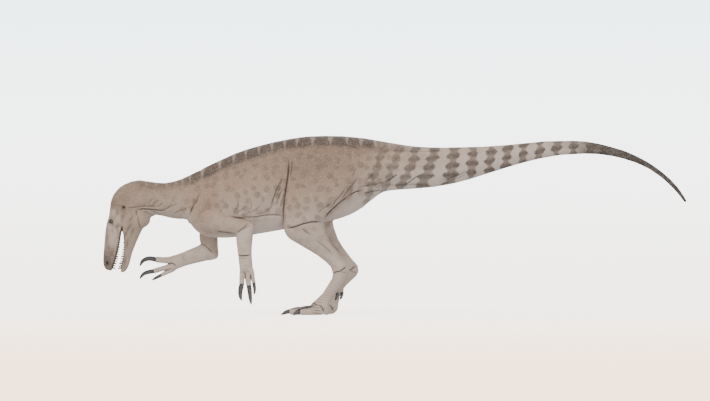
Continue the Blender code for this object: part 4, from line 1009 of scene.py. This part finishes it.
def skin_finish():
    made, shader, start = new_finish("scaly_skin", Roughness=0.62, Metallic=0.0)
    shader.inputs["Specular IOR Level"].default_value = 0.35

    read = start.read
    where = start.place()
    chart_place = read("chart", "Vector")
    tone, depth, share = read("tone"), read("depth"), read("share")
    cloud = start.noise(where, 9.0, 4.0, 0.6)
    grain = start.noise(where, 46.0, 3.0, 0.6)
    ragged = (cloud - 0.5) * 2.0
    fine = (grain - 0.5) * 2.0

    level = tone + ragged * 0.16
    colour = level.step(0.0, 0.55).mixed((0.195, 0.120, 0.078), (0.375, 0.265, 0.193))
    colour = level.step(0.45, 1.05).mixed(colour, (0.600, 0.480, 0.400))
    colour = (read("warm") * (0.70 + ragged * 0.3)).mixed(colour, (0.320, 0.178, 0.102))
    colour = (read("dusk") * (0.74 + ragged * 0.4)).mixed(colour, (0.205, 0.126, 0.080))
    colour = (read("blaze") * 0.75).mixed(colour, (0.500, 0.400, 0.325))
    colour = (read("smudge") * (0.74 + ragged * 0.3)).mixed(colour, (0.135, 0.090, 0.062))
    colour = (read("snout") * 0.94).mixed(colour, (0.098, 0.066, 0.047))

    # Blotches are laid out on the flat chart of the body
    bend = start.node("ShaderNodeTexNoise", Vector=chart_place, Scale=16.0, Detail=2.0, Roughness=0.5)
    bent = chart_place
    for operation, first, second in (
        ("SUBTRACT", start.out(bend, "Color"), (0.5, 0.5, 0.5)),
        ("MULTIPLY", None, (0.060, 0.060, 0.060)),
        ("ADD", None, chart_place),
    ):
        sum_node = start.node("ShaderNodeVectorMath", {"operation": operation})
        start.feed(sum_node.inputs[0], first or bent)
        start.feed(sum_node.inputs[1], second)
        bent = start.out(sum_node, "Vector")
    flat_cells = {"voronoi_dimensions": "2D", "feature": "F1"}
    cells = start.node("ShaderNodeTexVoronoi", flat_cells, Vector=bent, Scale=9.8, Randomness=0.78)
    chance = start.node("ShaderNodeSeparateColor", Color=start.out(cells, "Color"))
    size = 0.24 + start.out(chance, "Red") * 0.12
    blotch = (start.out(cells, "Distance") - size).step(0.10, -0.10)
    blotch = blotch * (0.70 + start.out(chance, "Green") * 0.40 + ragged * 0.5) * read("spots")
    colour = (blotch * 0.60).mixed(colour, (0.145, 0.096, 0.068))

    # Bars of the back, parted by pale notches that narrow downwards. On neck and head they are faint
    bars, rings = read("bars"), read("rings")
    from_notch = abs((bars + ragged * 0.08 + 0.5).fraction() - 0.5) * 2.0
    full = bars.step(3.5, 7.0)
    on_back = (bars.step(-0.2, 0.6) * 0.45 + full * 0.55) * (1.0 - rings.step(1.2, 2.0))
    lower_edge = 0.052 + full * 0.048 + from_notch * 0.012 + ragged * 0.046 + fine * 0.008
    band = (depth - lower_edge).step(0.030, -0.036)
    notch = (from_notch + ragged * 0.16 + depth * 3.6).step(0.46, 0.14)
    colour = (band * (1.0 - notch) * on_back * (0.92 + ragged * 0.2)).mixed(colour, (0.074, 0.050, 0.036))
    colour = (band * notch * on_back * 0.7).mixed(colour, (0.300, 0.225, 0.170))

    # Rings of the tail: chains of dark blobs
    ring_count = rings + ragged * 0.13 + fine * 0.06
    from_ring = abs((ring_count + 0.5).fraction() - 0.5) * 2.0
    beads = (depth * 68.0 + ragged * 2.2 + ring_count * 1.3).sine()
    wave = (depth * 33.0 + ring_count * 2.1).sine() * 0.08
    ring = (from_ring - beads * 0.16 - wave).step(0.62, 0.36) * share.step(-0.14, 0.06)
    ring = ring * rings.step(1.3, 1.7) * (0.90 + beads * 0.14)
    ring = ring * (0.62 + rings.step(2.0, 6.0) * 0.30) * (1.0 - read("rump"))
    colour = ring.mixed(colour, (0.078, 0.053, 0.038))
    colour = (read("tail_end") * 0.96).mixed(colour, (0.046, 0.034, 0.027))

    # Scales: pebbles, each a little lighter or darker than the next
    size_and_place = {"Vector": where, "Scale": 88.0, "Randomness": 0.9}
    pebbles = start.node("ShaderNodeTexVoronoi", {"feature": "F1"}, **size_and_place)
    seams = start.node("ShaderNodeTexVoronoi", {"feature": "DISTANCE_TO_EDGE"}, **size_and_place)
    shade_of_pebble = start.node("ShaderNodeSeparateColor", Color=start.out(pebbles, "Color"))
    dome = start.out(seams, "Distance").step(0.0, 0.28)
    colour = (start.out(shade_of_pebble, "Red").step(0.55, 1.0) * 0.16).mixed(colour, (0.600, 0.520, 0.450))
    colour = ((1.0 - dome) * 0.20).mixed(colour, (0.110, 0.082, 0.062))

    # Scutes: broad plates across the front of the feet
    rows = (read("scute_run") * 230.0 + ragged * 1.5).sine()
    scute_mask = read("scutes")
    groove = rows.step(-0.25, -0.80) * scute_mask
    colour = (groove * 0.85).mixed(colour, (0.100, 0.076, 0.060))

    # Painted shade on the tops of the toes, a little stronger and weaker along the rows of scutes
    colour = (read("toe_top_shade") * (0.80 + rows * 0.15)).mixed(colour, (0.034, 0.027, 0.023))

    # Painted shade in the folds, along the lips and in the hollows, and the wet lining of the mouth
    colour = (read("crease") * (1.05 + fine * 0.2)).mixed(colour, (0.036, 0.027, 0.022))
    colour = (read("lip_shade") * 0.88).mixed(colour, (0.034, 0.026, 0.022))
    colour = (read("hollow_shade") * 0.92).mixed(colour, (0.012, 0.009, 0.008))
    lining = read("lining")
    colour = lining.mixed(colour, (0.330, 0.130, 0.110))
    start.feed(shader.inputs["Base Color"], colour)

    rough = 0.60 + (1.0 - dome) * 0.16 + fine * 0.05 - lining * 0.30
    start.feed(shader.inputs["Roughness"], rough)
    height = dome * (1.0 - scute_mask) * (1.0 - lining) * 0.9
    height = height + rows.step(-0.9, 0.1) * scute_mask * 2.2 + grain * 0.6 + cloud * 1.2
    relief(start, shader, height, 0.75, 0.0016)
    return made


scaly_skin = skin_finish()
skin.data.materials.clear()
skin.data.materials.append(scaly_skin)
print("skin finish:", len(scaly_skin.node_tree.nodes), "nodes")

# %% [markdown]
# ### Horn claws
# The curved claws are horn: dark and satin, with fine streaks, a groove along each flank and paler
# patches in it. The solid claws have the right curve, so rounded copies keep it. The groove is pressed in
# where the surface faces sideways.

# %% Round and groove the claws
CLAWS = tuple(node for node in frame["nodes"] if node.startswith("claw_"))
CLAW_SWELL = 0.0022
GROOVE_DEPTH = 0.05


def run_from_tip(mesh):
    """How far each corner of a claw lies from its tip, from 0 to 1 at the root."""
    points = corners_of(mesh)
    middle = points.mean(axis=0)
    tip = points[np.argmax(np.linalg.norm(points - middle, axis=1))]
    way = 2.0 * middle - tip - tip
    run = ((points - tip) @ way) / (way @ way)
    return np.clip(run / float(run.max()), 0.0, 1.0)


def horn_finish():
    made, shader, start = new_finish("dark_horn", Roughness=0.36, Metallic=0.0)
    run = start.read("from_tip")
    flank = start.read("flank")
    where = start.place()
    streaks = start.noise(where, 240.0, 3.0, 0.6)
    pale_flank_patches = start.noise(where, 38.0, 2.0, 0.5)
    colour = run.step(0.0, 0.9).mixed((0.016, 0.014, 0.013), (0.036, 0.030, 0.026))
    # Paler patches on the flat of each flank
    colour = (flank * (0.10 + pale_flank_patches * 0.45)).mixed(colour, (0.095, 0.082, 0.072))
    colour = (streaks.step(0.5, 0.8) * 0.25).mixed(colour, (0.060, 0.050, 0.044))
    start.feed(shader.inputs["Base Color"], colour)
    start.feed(shader.inputs["Roughness"], 0.30 + streaks * 0.22)
    shader.inputs["Coat Weight"].default_value = 0.15
    relief(start, shader, streaks, 0.4, 0.0006)
    return made


dark_horn = horn_finish()
for node in CLAWS:
    claw = rounded_copy(node, 3, 75.0)
    push(claw.data, np.full(len(claw.data.vertices), CLAW_SWELL))
    claw.name = claw.data.name = f"horn_{node}"
    run = run_from_tip(claw.data)
    directions = outward(claw.data)
    points = corners_of(claw.data)
    facing = np.abs(directions[:, 1])
    thick = float(np.ptp(points[:, 1]))
    add_map(claw, "from_tip", run)
    add_map(claw, "flank", np.clip((facing - 0.82) / 0.16, 0.0, 1.0) * np.clip(run * 5.0, 0.0, 1.0))
    in_groove = np.clip((facing - 0.90) / 0.10, 0.0, 1.0)
    push(claw.data, -in_groove * thick * GROOVE_DEPTH * np.clip(run * 4.0, 0.0, 1.0))
    claw.data.materials.clear()
    claw.data.materials.append(dark_horn)
    claw.data.shade_smooth()
    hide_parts(node)
    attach(claw, "root")
print(len(CLAWS), "horn claws")

# %% [markdown]
# ### Eyes
# Each eye is a wet ball in a socket, whose skin is painted with shade. The iris is amber-brown with a
# standing slit for a pupil, as in a day-hunting reptile. A sphere with its pole turned to where the eye looks
# lets rings around that pole paint iris and pupil without any picture.

# %% Set the eyes
EYE_CENTRE = (-2.826, 0.056, 0.930)
EYE_RADIUS = 0.0236
IRIS_RADIUS = 0.0150
SLIT_HALF_WIDTH, SLIT_HALF_HEIGHT = 0.0042, 0.0125
LOOK = Vector((-0.50, 0.86, 0.05))


def eye_finish():
    made, shader, start = new_finish("wet_amber_eye", Roughness=0.06, Metallic=0.0)
    shader.inputs["Coat Weight"].default_value = 0.6
    shader.inputs["Coat Roughness"].default_value = 0.03
    out_of_iris = start.read("from_pole")
    from_slit = start.read("from_slit")
    where = start.place()
    fibres = start.noise(where, 620.0, 3.0, 0.6)
    darker_out = (fibres + out_of_iris * 0.6 - 0.3).step(0.2, 0.9)
    colour = darker_out.mixed((0.130, 0.055, 0.012), (0.040, 0.017, 0.006))
    colour = out_of_iris.step(0.80, 1.0).mixed(colour, (0.012, 0.008, 0.006))
    colour = from_slit.step(1.15, 0.85).mixed(colour, (0.002, 0.002, 0.002))
    start.feed(shader.inputs["Base Color"], colour)
    return made


wet_eye = eye_finish()
for side, sign in (("left", -1.0), ("right", 1.0)):
    look = Vector((LOOK.x, LOOK.y * sign, LOOK.z)).normalized()
    centre = Vector((EYE_CENTRE[0], EYE_CENTRE[1] * sign, EYE_CENTRE[2]))
    turn = look.to_track_quat("Z", "Y").to_matrix().to_4x4()
    bm = bmesh.new()
    bmesh.ops.create_uvsphere(bm, u_segments=40, v_segments=28, radius=EYE_RADIUS)
    for vertex in bm.verts:
        bulge = max(0.0, vertex.co.z / EYE_RADIUS - 0.86) / 0.14
        vertex.co *= 1.0 + 0.05 * bulge
    ahead = [vertex.co.copy() if vertex.co.z > 0 else Vector((9.0, 9.0, 0.0)) for vertex in bm.verts]
    rims = [math.hypot(v.x, v.y) / IRIS_RADIUS for v in ahead]
    slits = [math.hypot(v.x / SLIT_HALF_WIDTH, v.y / SLIT_HALF_HEIGHT) for v in ahead]
    bmesh.ops.transform(bm, matrix=Matrix.Translation(centre) @ turn, verts=bm.verts)
    eye = new_object(f"wet_eye_{side}", bm)
    add_map(eye, "from_pole", rims)
    add_map(eye, "from_slit", slits)
    eye.data.materials.append(wet_eye)
    eye.data.shade_smooth()
    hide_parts(f"eye_{side}")
    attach(eye, "root")
print("two eyes of", EYE_RADIUS * 2000, "mm")

# %% [markdown]
# ### Teeth
# A theropod's teeth are flat curved blades, longer near the front, each a little different from the next.
# One cone, bent and flattened, is repeated along the edge of each jaw, with its root sunk in the gum. A fixed
# seed varies size and lean, so that each run of the script gives the same animal.

# %% Plant the teeth
TEETH_A_SIDE = 12
TOOTH_ROW = (0.466, 0.720)
GUM_SHARE = 0.86
ROOT_DEPTH = 0.004
# The head's half width, its front and its rear edge, by height
JAW_HALF_WIDTH = (
    (0.42, 0.024), (0.45, 0.034), (0.48, 0.045), (0.535, 0.055), (0.61, 0.063), (0.695, 0.072), (0.78, 0.083),
    (0.865, 0.095),
)
FACE_LINE = (
    (0.445, -2.868), (0.48, -2.907), (0.535, -2.916), (0.61, -2.913),
    (0.695, -2.906), (0.78, -2.900), (0.865, -2.890),
)
CHIN_LINE = (
    (0.424, -2.718), (0.467, -2.674), (0.53, -2.651), (0.611, -2.630),
    (0.697, -2.598), (0.78, -2.562), (0.847, -2.530),
)


def half_width_of_jaw(x, z):
    """Half the width of the head at a point of the side view."""
    wide, front, rear = (value_along(line, z) for line in (JAW_HALF_WIDTH, FACE_LINE, CHIN_LINE))
    middle = rear + (front - rear) * 0.52
    reach = (middle - front) if x < middle else (rear - middle)
    away = min(1.0, abs(x - middle) / reach)
    return wide * math.sqrt(1.0 - away * away) ** 0.78


def blade(length, width):
    """A tooth that points up +Z from z = 0, with a root below, flattened across and curved along."""
    bm = bmesh.new()
    blunt = width * 0.30
    bmesh.ops.create_cone(bm, segments=10, radius1=width, radius2=blunt, depth=length * 1.5, cap_ends=True)
    lengthwise = [edge for edge in bm.edges if abs(edge.verts[0].co.z - edge.verts[1].co.z) > length]
    bmesh.ops.subdivide_edges(bm, edges=lengthwise, cuts=5, use_grid_fill=True)
    bmesh.ops.translate(bm, verts=bm.verts, vec=(0.0, 0.0, length * 0.25))
    bmesh.ops.scale(bm, verts=bm.verts, vec=(1.0, 0.55, 1.0))
    for vertex in bm.verts:
        rise = max(0.0, vertex.co.z / length)
        vertex.co.x += 0.35 * length * rise * rise
        vertex.co.x *= 1.0 + 0.25 * math.sin(math.pi * min(1.0, rise)) * (1.0 if vertex.co.x > 0 else 0.4)
    return bm


def tooth_row(name, edge_of_jaw, reach, longest):
    """Both rows of one jaw. Reach is 1 for the upper jaw, whose teeth point to +X, and -1 for the lower."""
    luck = np.random.default_rng(11 if reach > 0 else 12)
    whole = bmesh.new()
    for number in range(TEETH_A_SIDE):
        share = number / (TEETH_A_SIDE - 1)
        z = TOOTH_ROW[0] + (TOOTH_ROW[1] - TOOTH_ROW[0]) * share
        x = float(value_along(tuple(reversed(edge_of_jaw)), z)) - reach * ROOT_DEPTH
        for side in (-1.0, 1.0):
            size = longest * (1.0 - 0.60 * share) * luck.uniform(0.78, 1.08)
            one = blade(size, size * 0.26 + 0.0045)
            y = side * (half_width_of_jaw(x, z) * GUM_SHARE - 0.002)
            lean = math.radians(90.0 * reach) - math.radians(luck.uniform(2.0, 12.0)) * reach
            spin = Matrix.Rotation(math.radians(180.0), 4, "Z") if reach < 0 else Matrix.Identity(4)
            turn = Matrix.Rotation(lean, 4, "Y") @ spin
            bmesh.ops.transform(one, matrix=Matrix.Translation((x, y, z)) @ turn, verts=one.verts)
            scrap = bpy.data.meshes.new("scrap")
            one.to_mesh(scrap)
            one.free()
            whole.from_mesh(scrap)
            bpy.data.meshes.remove(scrap)
    bmesh.ops.recalc_face_normals(whole, faces=whole.faces)
    made = new_object(name, whole)
    made.data.shade_smooth()
    return made


def enamel_finish():
    made, shader, start = new_finish("old_enamel", Roughness=0.25, Metallic=0.0)
    where = start.place()
    stain = start.noise(where, 120.0, 3.0, 0.6)
    streak = start.noise(where, 900.0, 2.0, 0.5)
    colour = stain.step(0.35, 0.75).mixed((0.080, 0.058, 0.040), (0.040, 0.030, 0.022))
    colour = (streak.step(0.55, 0.8) * 0.4).mixed(colour, (0.030, 0.022, 0.016))
    start.feed(shader.inputs["Base Color"], colour)
    start.feed(shader.inputs["Roughness"], 0.20 + stain * 0.20)
    return made


old_enamel = enamel_finish()
for name, edge_of_jaw, reach, longest in (
    ("teeth_upper", UPPER_LIP, 1, 0.032),
    ("teeth_lower", LOWER_LIP, -1, 0.038),
):
    row = tooth_row(name, edge_of_jaw, reach, longest)
    row.data.materials.append(old_enamel)
    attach(row, "root")
print("four rows of", TEETH_A_SIDE, "teeth")

# %% [markdown]
# ### Tongue
# The tongue rests on the floor of the lower jaw. It is wet, with a shallow furrow down its middle and small
# bumps. The solid tongue has its place and outline, so a rounded copy takes over and the furrow is pressed
# in along the middle plane.

# %% Round the tongue
FURROW_HALF_WIDTH, FURROW_DEPTH = 0.005, 0.0025
tongue = rounded_copy("tongue", 3, 60.0)
tongue.name = tongue.data.name = "soft_tongue"
points = corners_of(tongue.data)
furrow = np.exp(-(points[:, 1] / FURROW_HALF_WIDTH) ** 2)
furrow *= np.clip(-outward(tongue.data)[:, 0] * 2.0, 0.0, 1.0)
push(tongue.data, -furrow * FURROW_DEPTH)
tongue.data.shade_smooth()


def tongue_finish():
    made, shader, start = new_finish("wet_tongue", Roughness=0.30, Metallic=0.0)
    where = start.place()
    bumpy = start.node("ShaderNodeTexVoronoi", {"feature": "F1"}, Vector=where, Scale=420.0)
    bumps = start.out(bumpy, "Distance")
    blush = start.noise(where, 60.0, 3.0, 0.6)
    colour = blush.step(0.3, 0.75).mixed((0.420, 0.170, 0.150), (0.300, 0.105, 0.095))
    start.feed(shader.inputs["Base Color"], colour)
    start.feed(shader.inputs["Roughness"], 0.24 + bumps * 0.25)
    relief(start, shader, bumps, 0.5, 0.0006)
    return made


tongue.data.materials.clear()
tongue.data.materials.append(tongue_finish())
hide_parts("tongue")
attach(tongue, "root")
print("tongue of", len(tongue.data.polygons), "faces")

# %% [markdown]
# ### Floor and backdrop
# The photograph has no ground, only paper that turns from pale blue above to warm cream below. One sheet,
# flat under the feet and curving up behind, gives the animal something to stand on and keeps that feeling.
# A row of points is swept sideways, so that the bend needs no seam. The bend is farther off than the
# camera ever goes, so that the animal can be seen from behind too. The paper also glows a little, as it
# does when it is lit from behind, but that glow isn't cast on the animal.

# %% Sweep the floor up into a backdrop
FLOOR_FRONT, BEND_START, BEND_RADIUS, WALL_TOP, HALF_SPAN = -140.0, 100.0, 10.0, 120.0, 140.0
bm = bmesh.new()
profile = [(FLOOR_FRONT, 0.0), (BEND_START, 0.0)]
for step in range(1, 17):
    angle = math.pi / 2 * step / 16
    profile.append((BEND_START + BEND_RADIUS * math.sin(angle), BEND_RADIUS * (1.0 - math.cos(angle))))
profile.append((BEND_START + BEND_RADIUS, WALL_TOP))
corners = [bm.verts.new((-HALF_SPAN, y, z)) for y, z in profile]
edges = [bm.edges.new(pair) for pair in zip(corners, corners[1:])]
swept = bmesh.ops.extrude_edge_only(bm, edges=edges)
moved_corners = [item for item in swept["geom"] if isinstance(item, bmesh.types.BMVert)]
bmesh.ops.translate(bm, verts=moved_corners, vec=(2 * HALF_SPAN, 0.0, 0.0))
bmesh.ops.recalc_face_normals(bm, faces=bm.faces)
if sum(face.normal.z for face in bm.faces) < 0:
    bmesh.ops.reverse_faces(bm, faces=bm.faces)
sweep = new_object("paper_floor", bm)
sweep.data.shade_smooth()
paper, shader, start = new_finish("warm_paper", Roughness=0.9, Metallic=0.0)
spot = start.node("ShaderNodeSeparateXYZ")
start.feed(spot.inputs["Vector"], start.place())
height, near = start.out(spot, "Z"), start.out(spot, "Y")
colour = near.step(3.5, -15.0).mixed((0.90, 0.83, 0.76), (0.92, 0.66, 0.46))
colour = (near.step(4.0, 80.0) * 0.5).mixed(colour, (0.90, 0.90, 0.90))
colour = height.step(0.0, 2.3).mixed(colour, (0.90, 0.90, 0.90))
colour = height.step(1.4, 11.4).mixed(colour, (0.70, 0.88, 0.91))
start.feed(shader.inputs["Base Color"], colour)
start.feed(shader.inputs["Emission Color"], colour)
shader.inputs["Emission Strength"].default_value = 3.6
sweep.data.materials.append(paper)
sweep.visible_diffuse = False
sweep.visible_glossy = False
print("floor and backdrop of", len(sweep.data.polygons), "faces")

# %% [markdown]
# ### Soft light
# The drawing is lit evenly, with the back brightest and the belly in a soft shade. Three far lamps with a
# wide disc do the same: a main one above the head on the camera's side, a weaker one low from the tail end,
# and one behind for the outline. A pale surrounding light keeps the shadows open.

# %% Hang the lights


def soft_sun(name, place, strength, spread_degrees, colour):
    """A far lamp that shines from a place towards the animal. A wide spread makes its shadows soft."""
    data = bpy.data.lights.new(name, "SUN")
    data.energy = strength
    data.angle = math.radians(spread_degrees)
    data.color = colour
    made = bpy.data.objects.new(name, data)
    made.location = place
    made.rotation_euler = Vector(place).to_track_quat("Z", "Y").to_euler()
    bpy.context.scene.collection.objects.link(made)
    return made


soft_sun("key_light", (-5.0, -8.0, 9.0), 1.95, 38.0, (1.0, 0.97, 0.93))
soft_sun("front_fill", (3.0, -9.0, -0.5), 1.00, 60.0, (1.0, 0.98, 0.96))
soft_sun("back_light", (3.0, 7.0, 6.0), 0.90, 40.0, (0.95, 0.98, 1.0))
world = bpy.data.worlds.new("pale_room")
bpy.context.scene.world = world
world.use_nodes = True
world.node_tree.nodes["Background"].inputs["Color"].default_value = (0.93, 0.96, 1.0, 1.0)
world.node_tree.nodes["Background"].inputs["Strength"].default_value = 0.98
print("three soft lights in a pale room")
